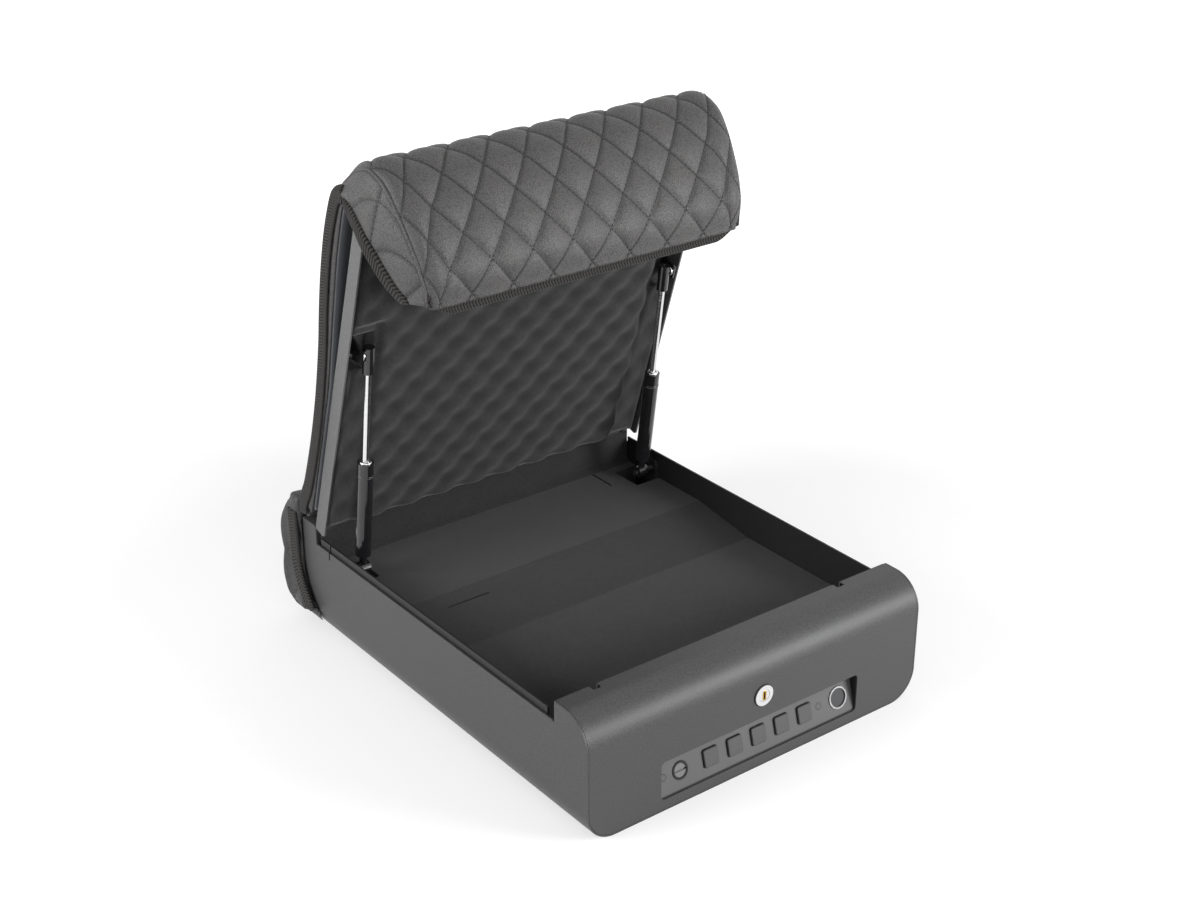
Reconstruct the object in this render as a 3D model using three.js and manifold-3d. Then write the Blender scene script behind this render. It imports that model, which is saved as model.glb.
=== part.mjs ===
// Portable car safe: a low steel box with a sprung lid on a piano hinge, two gas struts, a keypad nose
// and a quilted slip cover whose front hood folds down over the keypad. Shown open. Millimetres, +Z up.
// X is across the front, Y runs from the centre of the base to the back, Z = 0 is the underside.
import * as THREE from "three";
import { mergeVertices } from "three/addons/utils/BufferGeometryUtils.js";
import Module from "manifold-3d";

const wasm = await Module();
wasm.setup();

// Body
const BODY_WIDTH = 375;
const BODY_DEPTH = 460;
const BODY_HEIGHT = 118;
const SHEET = 1.6;
const FIT = 0.3;
const LOWER_RADIUS = 28.6;
const SIDE_TOP = 98.5;
const EAR_RADIUS = 3;
const NOSE_RADIUS = 30;
const NOSE_DEPTH = 44;
const BEND_RADIUS = 3;
const BULKHEAD_DROP = 1;
const NOTCH_RADIUS = 1.8;
const SLIT_WIDTH = 2;
const SLIT_DEPTH = 7.5;
const SLIT_FROM_HINGE = 21.8;
const LINER_RISE = 7.5;
const LINER_FOOT = 32;
const LINER_SETBACK = 12;
const REAR_FLANGE_GAP = 3.6;

// Floor foam
const FOAM_LOW = 68;
const FOAM_HIGH = 79;
const RAMP_START = 225;
const RAMP_LENGTH = 75;
const WELL_WIDTH = 28.5;
const WELL_AHEAD = 9.2;
const WELL_LENGTH = 37;
const WELL_FLOOR = 30;
const FOAM_SLIT = 1.5;
const FOAM_SLIT_DEPTH = 6;
const UPSTAND_TOP = 112;
const UPSTAND = 3;
const UPSTAND_FILLET = 6;

// Lid and its hinge
const LID_ANGLE = 72.5;
const LID_GAP = 3.8;
const LID_BACK = 3.2;
const FLANGE_DEPTH = 18;
const HINGE_FROM_BACK = 37.2;
const KNUCKLE_RADIUS = 2.5;
const PIN_RADIUS = 1.1;
const LEAF = 1;
const LEAF_WIDTH = 24;
const KNUCKLES = 11;
const HINGE_INSET = 11.5;
const EGG_PITCH = 38;
const EGG_BASE = 10;
const EGG_RISE = 8;
const EGG_LOW_BASE = 7;
const EGG_LOW_RISE = 3.5;
const EGG_PHASE = [2, 29];
const EGG_FROM_HINGE = 6;

// Gas struts
const STRUT_INSET = 20.5;
const STRUT_FOOT_AHEAD = 48.6;
const STRUT_FOOT_DROP = 30;
const BALL_ALONG = 215.5;
const BALL_IN = 17;
const TUBE_RADIUS = 7.5;
const TUBE_WALL = 1;
const TUBE_TOP = 117.5;
const ROD_RADIUS = 3;
const ROD_TAIL = 26;
const SOCKET_RADIUS = 5.5;
const SOCKET_BELOW = 19;
const SOCKET_ABOVE = 7;
const STUD_RADIUS = 3;

// Keypad panel
const PANEL_WIDTH = 224.8;
const PANEL_X = 2;
const PANEL_BOTTOM = 11.2;
const PANEL_TOP = 49.1;
const PANEL_SINK = 10.1;
const PANEL_WALL = 2.5;
const PANEL_CORNER = 4;
const PANEL_RIM = 4.5;
const BUTTON_WIDTH = 16.2;
const BUTTON_HEIGHT = 16.6;
const BUTTON_CORNER = 2.1;
const BUTTON_PITCH = 27;
const BUTTON_FIRST_X = -51.8;
const BUTTON_TRAVEL = 1;
const BUTTON_COUNT = 5;
const ROW_Z = 28.2;
const CAP_X = -84.9;
const CAP_RADIUS = 8.3;
const COIN_RADIUS = 6.2;
const LED_XS = [-103.3, 74];
const LED_RADIUS = 3;
const SENSOR_X = 97.2;
const SENSOR_RADIUS = 8.6;
const SENSOR_RING = 10.4;

// Key lock and latch
const LOCK_X = 1;
const LOCK_Z = 72.2;
const LOCK_FLANGE = 9.8;
const LOCK_BARREL = 8;
const LOCK_LENGTH = 24;
const PLUG_RADIUS = 5.6;
const CAM_ARM = 6;
const CAM_THICK = 2;
const PEG_RADIUS = 1.5;
const LATCH_SHEET = 2;
const STRIKER_XS = [-147.5, 126];
const STRIKER_SHEET = 2.5;
const STRIKER_REACH = 9;
const LATCH_PIN_RADIUS = 1.6;
const GEAR_MODULE = 1;
const GEAR_TEETH = 12;
const PINION_X = -60;
const GUIDE_XS = [-110, 80];
const LATCH_BAR = [88, 96];

// Cover
const COVER_OVER = 2.7;
const WEB_WIDTH = 13;
const WEB_THICK = 1.6;
const HOOD_INSET = 6.5;
const HEM_INSET = 20.5;
const HOOD_THICK = 14;
const QUILT_PITCH = 41.8;
const QUILT_PUFF = 2.4;
const BOLSTER_BACK = 17;
const BOLSTER_TOP = 20;
const BOLSTER_LAP = 14;
const WING = 3.6;

// Derived places
const HALF = BODY_WIDTH / 2;
const INNER = HALF - SHEET;
const HINGE_Y = BODY_DEPTH - HINGE_FROM_BACK;
const HINGE_Z = BODY_HEIGHT - KNUCKLE_RADIUS;
const HINGE_LENGTH = BODY_WIDTH - 2 * HINGE_INSET;
const LID_LENGTH = HINGE_Y - NOSE_DEPTH - LID_GAP;
const LINER_START = NOSE_DEPTH + LINER_SETBACK;
const STRUT_X = HALF - STRUT_INSET;
const STRUT_FOOT_Y = HINGE_Y - STRUT_FOOT_AHEAD;
const STRUT_FOOT_Z = BODY_HEIGHT - STRUT_FOOT_DROP;
const WELL_START = STRUT_FOOT_Y - WELL_AHEAD;
const COVER_HALF = HALF + COVER_OVER;
const HOOD_HALF = HALF - HOOD_INSET;
const HOOD_HEM_HALF = HALF - HEM_INSET;
const EAR_Y = HINGE_Y + 0.6;
const SLIT_Y = HINGE_Y - SLIT_FROM_HINGE;
const LINER_FACE = INNER - 0.4 - SHEET;
const LINER_TOP = SIDE_TOP + LINER_RISE;
const LINER_END = HINGE_Y - 4.8;
const BULKHEAD_Y = NOSE_DEPTH + FIT;
const REAR_WALL_Y = HINGE_Y + LEAF / 2 + FIT;
const LID_TOP = KNUCKLE_RADIUS;
const LID_UNDER = LID_TOP - SHEET;
const LID_RIM = LID_TOP - FLANGE_DEPTH;
const LID_FRONT = -LID_LENGTH;
const FOAM_EDGE = LINER_FACE - 0.9;
const PANEL_TILT = Math.atan2(PANEL_SINK, PANEL_TOP - PANEL_BOTTOM);
const OPEN = THREE.MathUtils.degToRad(LID_ANGLE);
const LATCH_Y = SHEET + LOCK_LENGTH + CAM_THICK + 1;

// Finishes
const finish = (color, roughness, metalness) => ({ color, roughness, metalness });
const POWDER = finish(0x55575a, 0.6, 0.25);
const BRIGHT = finish(0xd9dbdd, 0.2, 1);
const ZINC = finish(0xa9adb0, 0.4, 0.9);
const BLACK = finish(0x111214, 0.25, 0.4);
const PLASTIC = finish(0x6b6d70, 0.55, 0);
const FOAM = finish(0x3b3b3d, 0.95, 0);
const LEATHER = finish(0x4a4846, 0.7, 0);
const WEBBING = finish(0x2c2623, 0.9, 0);
const RUBBER = finish(0x1c1c1d, 0.8, 0);
const BRASS = finish(0xb08a3c, 0.35, 0.9);
const BOARD = finish(0x1f4a34, 0.6, 0);
const LINING = finish(0x3a3d42, 0.85, 0);

// Solids: closed geometry in, closed geometry out
function solid(geometry) {
  const bare = new THREE.BufferGeometry().setAttribute("position", geometry.getAttribute("position"));
  if (geometry.index) bare.setIndex(geometry.index);
  const merged = mergeVertices(bare, 1e-4);
  const vertProperties = merged.attributes.position.array;
  const triVerts = new Uint32Array(merged.index.array);
  return new wasm.Manifold(new wasm.Mesh({ numProp: 3, vertProperties, triVerts }));
}

const join = (first, ...rest) => rest.reduce((a, b) => a.add(b), first);
const cut = (first, ...rest) => rest.reduce((a, b) => a.subtract(b), first);

function geometryOf(manifold) {
  const m = manifold.getMesh();
  const geometry = new THREE.BufferGeometry();
  geometry.setAttribute("position", new THREE.BufferAttribute(new Float32Array(m.vertProperties), 3));
  geometry.setIndex(new THREE.BufferAttribute(new Uint32Array(m.triVerts), 1));
  geometry.computeVertexNormals();
  return geometry;
}

const part = new THREE.Group();
part.position.y = -BODY_DEPTH / 2;

function piece(group, name, manifold, look) {
  const mesh = new THREE.Mesh(geometryOf(manifold), new THREE.MeshStandardMaterial(look));
  mesh.name = name;
  group.add(mesh);
  return mesh;
}

function group(parent, y, z, turn = 0) {
  const g = new THREE.Group();
  g.position.set(0, y, z);
  g.rotation.x = turn;
  parent.add(g);
  return g;
}

// Basic forms
function box(x0, x1, y0, y1, z0, z1) {
  const g = new THREE.BoxGeometry(x1 - x0, y1 - y0, z1 - z0);
  return solid(g.translate((x0 + x1) / 2, (y0 + y1) / 2, (z0 + z1) / 2));
}

function outline(points) {
  return new THREE.Shape(points.map(([a, b]) => new THREE.Vector2(a, b)));
}

function extrude(shape, depth, arcSteps = 8) {
  return new THREE.ExtrudeGeometry(shape, { depth, bevelEnabled: false, curveSegments: arcSteps });
}

// A YZ outline run along X
function alongX(shape, x0, x1, arcSteps) {
  const turn = new THREE.Matrix4().makeBasis(
    new THREE.Vector3(0, 1, 0), new THREE.Vector3(0, 0, 1), new THREE.Vector3(1, 0, 0));
  return solid(extrude(shape, x1 - x0, arcSteps).applyMatrix4(turn).translate(x0, 0, 0));
}

// An XZ outline run along Y
function alongY(shape, y0, y1, arcSteps) {
  return solid(extrude(shape, y1 - y0, arcSteps).rotateX(Math.PI / 2).translate(0, y1, 0));
}

function rod(axis, radius, from, to, centre, sides = 20) {
  const g = new THREE.CylinderGeometry(radius, radius, to - from, sides);
  const mid = (from + to) / 2;
  if (axis === "x") g.rotateZ(Math.PI / 2).translate(mid, centre[0], centre[1]);
  if (axis === "y") g.translate(centre[0], mid, centre[1]);
  if (axis === "z") g.rotateX(Math.PI / 2).translate(centre[0], centre[1], mid);
  return solid(g);
}

function roundedRect(width, height, radius, x = 0, y = 0) {
  const s = new THREE.Shape();
  const [a, b] = [width / 2 - radius, height / 2 - radius];
  s.absarc(x + a, y + b, radius, 0, Math.PI / 2);
  s.absarc(x - a, y + b, radius, Math.PI / 2, Math.PI);
  s.absarc(x - a, y - b, radius, Math.PI, Math.PI * 1.5);
  s.absarc(x + a, y - b, radius, Math.PI * 1.5, Math.PI * 2);
  return s;
}

// Closed solid between two grids of points; the first faces the way that rows cross columns.
// A flat back is closed by a fan from its centre.
function shell(rows, columns, front, back, flat = false) {
  const place = [];
  const index = [];
  for (const grid of [front, back])
    for (let i = 0; i <= rows; i++)
      for (let j = 0; j <= columns; j++) place.push(...grid(i, j));
  const at = (k, i, j) => (k * (rows + 1) + i) * (columns + 1) + j;
  for (let i = 0; i < rows; i++)
    for (let j = 0; j < columns; j++)
      for (const k of flat ? [0] : [0, 1]) {
        const [a, b, c, d] = [at(k, i, j), at(k, i + 1, j), at(k, i + 1, j + 1), at(k, i, j + 1)];
        const faces = (i + j) % 2 ? [a, b, c, a, c, d] : [a, b, d, b, c, d];
        index.push(...(k ? faces.reverse() : faces));
      }
  const edge = [];
  for (let i = 0; i < rows; i++) edge.push([i, 0]);
  for (let j = 0; j < columns; j++) edge.push([rows, j]);
  for (let i = rows; i > 0; i--) edge.push([i, columns]);
  for (let j = columns; j > 0; j--) edge.push([0, j]);
  edge.forEach(([i, j], n) => {
    const [i2, j2] = edge[(n + 1) % edge.length];
    const [a, b, c, d] = [at(0, i, j), at(0, i2, j2), at(1, i2, j2), at(1, i, j)];
    index.push(b, a, d, b, d, c);
    if (flat) index.push(c, d, at(1, rows >> 1, columns >> 1));
  });
  const g = new THREE.BufferGeometry();
  g.setAttribute("position", new THREE.BufferAttribute(new Float32Array(place), 3));
  return solid(g.setIndex(index));
}

// Body section across the width, moved out (or in) by grow: square at the top, round below
function bodySection(grow, top = BODY_HEIGHT + 10) {
  const a = HALF + grow;
  const r = LOWER_RADIUS + grow;
  const s = new THREE.Shape();
  s.moveTo(-a, top);
  s.lineTo(-a, LOWER_RADIUS);
  s.absarc(-HALF + LOWER_RADIUS, LOWER_RADIUS, r, Math.PI, Math.PI * 1.5);
  s.absarc(HALF - LOWER_RADIUS, LOWER_RADIUS, r, Math.PI * 1.5, Math.PI * 2);
  s.lineTo(a, top);
  return s;
}

// Side view of a side plate
function sideView() {
  const s = new THREE.Shape();
  const drop = SIDE_TOP - 0.7 + NOTCH_RADIUS;
  s.moveTo(0, -1);
  s.lineTo(BODY_DEPTH, -1);
  s.lineTo(BODY_DEPTH, BODY_HEIGHT);
  s.absarc(EAR_Y + EAR_RADIUS, BODY_HEIGHT - EAR_RADIUS, EAR_RADIUS, Math.PI / 2, Math.PI);
  s.lineTo(EAR_Y, SIDE_TOP);
  s.lineTo(SLIT_Y, SIDE_TOP);
  s.lineTo(SLIT_Y, SIDE_TOP - SLIT_DEPTH);
  s.lineTo(SLIT_Y - SLIT_WIDTH, SIDE_TOP - SLIT_DEPTH);
  s.lineTo(SLIT_Y - SLIT_WIDTH, SIDE_TOP);
  const bite = Math.asin((drop - SIDE_TOP) / NOTCH_RADIUS);
  s.absarc(NOSE_DEPTH + NOTCH_RADIUS, drop, NOTCH_RADIUS, -bite, -Math.PI, true);
  s.lineTo(NOSE_DEPTH, BODY_HEIGHT);
  s.absarc(NOSE_RADIUS, BODY_HEIGHT - NOSE_RADIUS, NOSE_RADIUS, Math.PI / 2, Math.PI);
  return s;
}

function bodyPieces() {
  const skin = cut(
    alongY(bodySection(0), 0, BODY_DEPTH),
    alongY(bodySection(-SHEET, BODY_HEIGHT + 20), -1, BODY_DEPTH + 1),
  );
  piece(part, "base_shell", skin.intersect(alongX(sideView(), -HALF - 1, HALF + 1)), POWDER);

  const inside = alongY(bodySection(-SHEET - FIT), -5, BODY_DEPTH + 5);
  piece(part, "front_fascia", fasciaBlank().intersect(inside), POWDER);
  piece(part, "front_bulkhead", bulkheadBlank().intersect(inside), POWDER);
  piece(part, "rear_panel", rearPanelBlank().intersect(inside), POWDER);
  const rearTop = HINGE_Z - KNUCKLE_RADIUS - 1;
  const rearWall = box(-HALF, HALF, REAR_WALL_Y, REAR_WALL_Y + SHEET, SHEET + FIT, rearTop);
  piece(part, "rear_bulkhead", rearWall.intersect(inside), POWDER);
  for (const side of [-1, 1]) linerPiece(side);
}

// Front sheet: foot, upright face, nose bend, top; with the keypad window, lock hole and latch notches
function fasciaBlank() {
  const foot = 12;
  const [r, zc] = [NOSE_RADIUS, BODY_HEIGHT - NOSE_RADIUS];
  const s = new THREE.Shape();
  s.moveTo(0, SHEET + FIT);
  s.lineTo(foot, SHEET + FIT);
  s.lineTo(foot, 2 * SHEET + FIT);
  s.lineTo(SHEET, 2 * SHEET + FIT);
  s.lineTo(SHEET, zc);
  s.absarc(r, zc, r - SHEET, Math.PI, Math.PI / 2, true);
  s.lineTo(NOSE_DEPTH, BODY_HEIGHT - SHEET);
  s.lineTo(NOSE_DEPTH, BODY_HEIGHT);
  s.absarc(r, zc, r, Math.PI / 2, Math.PI);
  const sheet = alongX(s, -HALF, HALF, 12);
  const midZ = (PANEL_BOTTOM + PANEL_TOP) / 2;
  const opening = roundedRect(PANEL_WIDTH, PANEL_TOP - PANEL_BOTTOM, PANEL_CORNER, PANEL_X, midZ);
  const notches = STRIKER_XS.map((x) =>
    box(x - 4.5, x + 4.5, NOSE_DEPTH - 6, NOSE_DEPTH + 1, BODY_HEIGHT - 2 * SHEET, BODY_HEIGHT + 1));
  return cut(
    sheet,
    alongY(opening, -1, SHEET + 1),
    rod("y", LOCK_BARREL + FIT, -1, SHEET + 1, [LOCK_X, LOCK_Z], 32),
    ...notches,
  );
}

function bulkheadBlank() {
  const top = BODY_HEIGHT - BULKHEAD_DROP;
  const wall = box(-HALF, HALF, BULKHEAD_Y, BULKHEAD_Y + SHEET, SHEET + FIT, top);
  const slots = STRIKER_XS.map((x) => box(x - 4.5, x + 4.5, NOSE_DEPTH, NOSE_DEPTH + 9, top - 18, top + 1));
  return cut(wall, ...slots);
}

// Back sheet: top flange behind the hinge, bend, upright back, foot
function rearPanelBlank() {
  const start = HINGE_Y + REAR_FLANGE_GAP;
  const [back, r] = [BODY_DEPTH, BEND_RADIUS];
  const foot = back - 14;
  const s = new THREE.Shape();
  s.moveTo(start, BODY_HEIGHT);
  s.lineTo(start, BODY_HEIGHT - SHEET);
  s.absarc(back - r, BODY_HEIGHT - r, r - SHEET, Math.PI / 2, 0, true);
  s.lineTo(back - SHEET, 2 * SHEET + FIT);
  s.lineTo(foot, 2 * SHEET + FIT);
  s.lineTo(foot, SHEET + FIT);
  s.lineTo(back, SHEET + FIT);
  s.absarc(back - r, BODY_HEIGHT - r, r, 0, Math.PI / 2);
  return alongX(s, -HALF, HALF, 4);
}

// Inner liner plate of one side, rising past the rim; its slit matches the side plate's
function linerPiece(side) {
  const s = new THREE.Shape();
  const round = 3;
  s.moveTo(LINER_START, LINER_FOOT);
  s.lineTo(LINER_END, LINER_FOOT);
  s.lineTo(LINER_END, LINER_TOP);
  s.lineTo(SLIT_Y, LINER_TOP);
  s.lineTo(SLIT_Y, SIDE_TOP - SLIT_DEPTH);
  s.lineTo(SLIT_Y - SLIT_WIDTH, SIDE_TOP - SLIT_DEPTH);
  s.lineTo(SLIT_Y - SLIT_WIDTH, LINER_TOP);
  s.absarc(LINER_START + round, LINER_TOP - round, round, Math.PI / 2, Math.PI);
  const [a, b] = [LINER_FACE, LINER_FACE + SHEET];
  const plate = side < 0 ? alongX(s, -b, -a) : alongX(s, a, b);
  piece(part, side < 0 ? "side_liner_left" : "side_liner_right", plate, POWDER);
}

// Fitted floor foam: low in front, a ramp, high behind with an upstand against the rear wall,
// wells under the struts and finger slits
function floorFoam() {
  const back = HINGE_Y - LEAF / 2 - FIT - 0.5;
  const upstandFoot = back - UPSTAND - UPSTAND_FILLET;
  const top = outline([
    [BULKHEAD_Y + SHEET + FIT, SHEET + FIT], [back, SHEET + FIT], [back, UPSTAND_TOP],
    [back - UPSTAND, UPSTAND_TOP], [back - UPSTAND, FOAM_HIGH + UPSTAND_FILLET],
    [back - UPSTAND - 0.3 * UPSTAND_FILLET, FOAM_HIGH + 0.3 * UPSTAND_FILLET], [upstandFoot, FOAM_HIGH],
    [RAMP_START + RAMP_LENGTH, FOAM_HIGH], [RAMP_START, FOAM_LOW], [BULKHEAD_Y + SHEET + FIT, FOAM_LOW],
  ]);
  const edge = LINER_FACE - FIT;
  const block = alongX(top, -edge, edge).intersect(alongY(bodySection(-SHEET - FIT), 0, BODY_DEPTH));
  const cuts = [-1, 1].map((side) => {
    const [a, b] = [edge - WELL_WIDTH, edge + 1];
    const wellEnd = WELL_START + WELL_LENGTH;
    return side < 0
      ? box(-b, -a, WELL_START, wellEnd, WELL_FLOOR, FOAM_HIGH + 1)
      : box(a, b, WELL_START, wellEnd, WELL_FLOOR, FOAM_HIGH + 1);
  });
  const slitTop = FOAM_HIGH + 1;
  const slitY = RAMP_START + 55;
  cuts.push(box(-edge + 49, -edge + 95, slitY, slitY + FOAM_SLIT, FOAM_HIGH - 3 - FOAM_SLIT_DEPTH, slitTop));
  const slitX = edge - 51;
  cuts.push(box(slitX, slitX + FOAM_SLIT, WELL_START + 16, upstandFoot, FOAM_HIGH - FOAM_SLIT_DEPTH, slitTop));
  piece(part, "floor_foam", cut(block, ...cuts), FOAM);
}

// Piano hinge: alternate knuckles of the two leaves round one pin
function knuckleRun(first) {
  const step = HINGE_LENGTH / KNUCKLES;
  const rings = [];
  for (let i = first; i < KNUCKLES; i += 2) {
    const x0 = -HINGE_LENGTH / 2 + i * step + FIT / 2;
    rings.push(rod("x", KNUCKLE_RADIUS, x0, x0 + step - FIT, [0, 0], 14));
  }
  return rings;
}

function hingePieces(lid) {
  const base = group(part, HINGE_Y, HINGE_Z);
  const half = HINGE_LENGTH / 2;
  const bore = rod("x", PIN_RADIUS + 0.15, -half - 1, half + 1, [0, 0], 12);
  const clear = KNUCKLE_RADIUS + FIT;
  const gaps = (first) => {
    const step = HINGE_LENGTH / KNUCKLES;
    const list = [];
    for (let i = 1 - first; i < KNUCKLES; i += 2) {
      const x0 = -half + i * step;
      list.push(box(x0 - FIT / 2, x0 + step + FIT / 2, -clear, clear, -clear, clear));
    }
    return list;
  };
  const upright = box(-half, half, -LEAF / 2, LEAF / 2, -LEAF_WIDTH, 0);
  const fixedLeaf = cut(join(cut(upright, ...gaps(0)), ...knuckleRun(0)), bore);
  piece(base, "hinge_leaf_base", fixedLeaf, ZINC);
  const flat = box(-half, half, -LEAF_WIDTH, 0, LID_UNDER - FIT - LEAF, LID_UNDER - FIT);
  const lidLeaf = cut(join(cut(flat, ...gaps(1)), ...knuckleRun(1)), bore);
  piece(lid, "hinge_leaf_lid", lidLeaf, ZINC);
  piece(base, "hinge_pin", rod("x", PIN_RADIUS, -half - 0.8, half + 0.8, [0, 0], 12), ZINC);
}

// Lid tray: sheet bent down on both sides, front flange slotted for the strikers
function lidPan(lid) {
  const s = new THREE.Shape();
  const r = BEND_RADIUS;
  s.moveTo(-HALF, LID_RIM);
  s.lineTo(-INNER, LID_RIM);
  s.absarc(-HALF + r, LID_TOP - r, r - SHEET, Math.PI, Math.PI / 2, true);
  s.absarc(HALF - r, LID_TOP - r, r - SHEET, Math.PI / 2, 0, true);
  s.lineTo(INNER, LID_RIM);
  s.lineTo(HALF, LID_RIM);
  s.absarc(HALF - r, LID_TOP - r, r, 0, Math.PI / 2);
  s.absarc(-HALF + r, LID_TOP - r, r, Math.PI / 2, Math.PI);
  const side = outline([
    [LID_FRONT, LID_RIM - 1], [LID_FRONT, LID_TOP + 1], [-LID_BACK, LID_TOP + 1], [-LID_BACK, LID_TOP - 0.6],
    [-1, -1], [-0.8, LID_RIM + 3], [-3.6, LID_RIM - 1],
  ]);
  const front = box(-HALF + 1, HALF - 1, LID_FRONT, LID_FRONT + SHEET, LID_RIM, LID_TOP - 0.5);
  const tray = join(alongY(s, LID_FRONT, 0, 4).intersect(alongX(side, -HALF - 1, HALF + 1)), front);
  const slots = STRIKER_XS.map((x) =>
    box(x - STRIKER_SHEET / 2 - FIT, x + STRIKER_SHEET / 2 + FIT, LID_FRONT - 1, LID_FRONT + 3,
      LID_RIM - 1, LID_UNDER - 2));
  const hingeRelief = box(-HINGE_LENGTH / 2 - 1, HINGE_LENGTH / 2 + 1, -LID_BACK, 1, LID_RIM, LID_TOP + 1);
  piece(lid, "lid_pan", cut(tray, ...slots, hingeRelief), POWDER);
}

// Egg-crate foam: soft peaks and hollows in a staggered grid, kept low where each closed strut lies
function eggCrate(lid) {
  const x1 = FOAM_EDGE;
  const [y0, y1] = [LID_FRONT + 5.5, -EGG_FROM_HINGE];
  const top = LID_UNDER - FIT - LEAF - FIT;
  const columns = Math.round((8 * x1) / EGG_PITCH);
  const rows = Math.round((4 * (y1 - y0)) / EGG_PITCH);
  const spot = (i, j) => [-x1 + (2 * x1 * j) / columns, y0 + ((y1 - y0) * i) / rows];
  const wave = (along) => Math.cos((2 * Math.PI * along) / EGG_PITCH);
  const depth = (i, j) => {
    const [x, y] = spot(i, j);
    const edge = i === 0 || j === 0 || i === rows || j === columns ? 0.4 : 1;
    const peak = edge * (1 + wave(x - EGG_PHASE[0]) * wave(-y - EGG_PHASE[1])) / 2;
    const underStrut = -y < BALL_ALONG + 34 && Math.abs(Math.abs(x) - STRUT_X) < 2 * TUBE_RADIUS;
    return underStrut ? EGG_LOW_BASE + EGG_LOW_RISE * peak : EGG_BASE + EGG_RISE * peak;
  };
  const bumps = (i, j) => [...spot(i, j), top - depth(i, j)];
  const block = shell(rows, columns, bumps, (i, j) => [...spot(i, j), top], true);
  const studs = [-1, 1].map((side) => {
    const [a, b] = [STRUT_X - 8, x1 + 2];
    const [y2, y3] = [-BALL_ALONG - 20, -BALL_ALONG + 20];
    return side < 0 ? box(-b, -a, y2, y3, -40, top + 1) : box(a, b, y2, y3, -40, top + 1);
  });
  piece(lid, "lid_foam", cut(block, ...studs), FOAM);
}

// Striker: upright tongue through the front flange, with a foot inside and a hole for the latch pin
function strikers(lid) {
  STRIKER_XS.forEach((x, i) => {
    const t = STRIKER_SHEET / 2;
    const z1 = LID_UNDER - 2 - FIT;
    const z0 = z1 - 12;
    const inside = LID_FRONT + SHEET + FIT;
    const tongue = box(x - t, x + t, LID_FRONT - STRIKER_REACH, inside + 1, z0, z1);
    const foot = box(x - 7, x + 7, inside, inside + SHEET, z0, z1);
    const hole = rod("x", LATCH_PIN_RADIUS + 1, x - 3, x + 3, [LID_FRONT - 5.6, (z0 + z1) / 2], 16);
    piece(lid, i ? "striker_right" : "striker_left", cut(join(tongue, foot), hole), ZINC);
  });
}

// Gas struts, built about the foot pivot with the rod pointing along +Y of the strut's own frame
function strutPieces(lid) {
  const ballY = HINGE_Y - BALL_ALONG * Math.cos(OPEN) - BALL_IN * Math.sin(OPEN);
  const ballZ = HINGE_Z + BALL_ALONG * Math.sin(OPEN) - BALL_IN * Math.cos(OPEN);
  const [dy, dz] = [ballY - STRUT_FOOT_Y, ballZ - STRUT_FOOT_Z];
  const length = Math.hypot(dy, dz);
  const lean = group(part, STRUT_FOOT_Y, STRUT_FOOT_Z, Math.atan2(dz, dy));
  for (const side of [-1, 1]) {
    const tag = side < 0 ? "left" : "right";
    const x = side * STRUT_X;
    const bore = TUBE_RADIUS - TUBE_WALL;
    const end = 16;
    const neck = rod("y", STUD_RADIUS + 0.5, 4, end + 1, [x, 0], 16);
    const ring = rod("x", SOCKET_RADIUS + 1, x - SOCKET_RADIUS, x + SOCKET_RADIUS, [0, 0], 20);
    const tube = cut(
      join(rod("y", TUBE_RADIUS, end, TUBE_TOP, [x, 0], 24), neck, ring),
      rod("y", bore, end + 5, TUBE_TOP - 8, [x, 0], 24),
      rod("y", ROD_RADIUS + FIT, TUBE_TOP - 9, TUBE_TOP + 1, [x, 0], 16),
      rod("x", STUD_RADIUS + FIT, x - 9, x + 9, [0, 0], 16),
    );
    piece(lean, `strut_tube_${tag}`, tube, BLACK);
    const stem = rod("y", ROD_RADIUS, TUBE_TOP - ROD_TAIL, length - SOCKET_BELOW + 8, [x, 0], 16);
    const piston = rod("y", bore - FIT, TUBE_TOP - ROD_TAIL - 6, TUBE_TOP - ROD_TAIL + 0.5, [x, 0], 24);
    piece(lean, `strut_rod_${tag}`, join(stem, piston), BRIGHT);
    const cup = rod("y", SOCKET_RADIUS, length - SOCKET_BELOW, length + SOCKET_ABOVE, [x, 0], 20);
    const seat = rod("y", ROD_RADIUS + FIT, length - SOCKET_BELOW - 1, length - SOCKET_BELOW + 8 + FIT, [x, 0], 16);
    piece(lean, `strut_socket_${tag}`, cut(cup, seat), BLACK);
    strutFoot(side, tag);
    strutHead(lid, side, tag);
  }
}

// Bracket on the side liner with the pivot pin through the strut's eye
function strutFoot(side, tag) {
  const wall = LINER_FACE - FIT;
  const centre = [STRUT_FOOT_Y, STRUT_FOOT_Z];
  const [a, b] = [wall - 2.4, wall];
  const plate = outline([
    [centre[0] - 8, 46], [centre[0] + 8, 46], [centre[0] + 8, centre[1] + 4],
    [centre[0] + 4, centre[1] + 9], [centre[0] - 4, centre[1] + 9], [centre[0] - 8, centre[1] + 4],
  ]);
  const span = side < 0 ? [-b, -a] : [a, b];
  const inner = STRUT_X - SOCKET_RADIUS - 2.5;
  const reach = side < 0 ? [-a - 0.5, -inner] : [inner, a + 0.5];
  const pin = rod("x", STUD_RADIUS, reach[0], reach[1], centre, 16);
  piece(part, `strut_bracket_base_${tag}`, join(alongX(plate, ...span), pin), BLACK);
}

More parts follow.
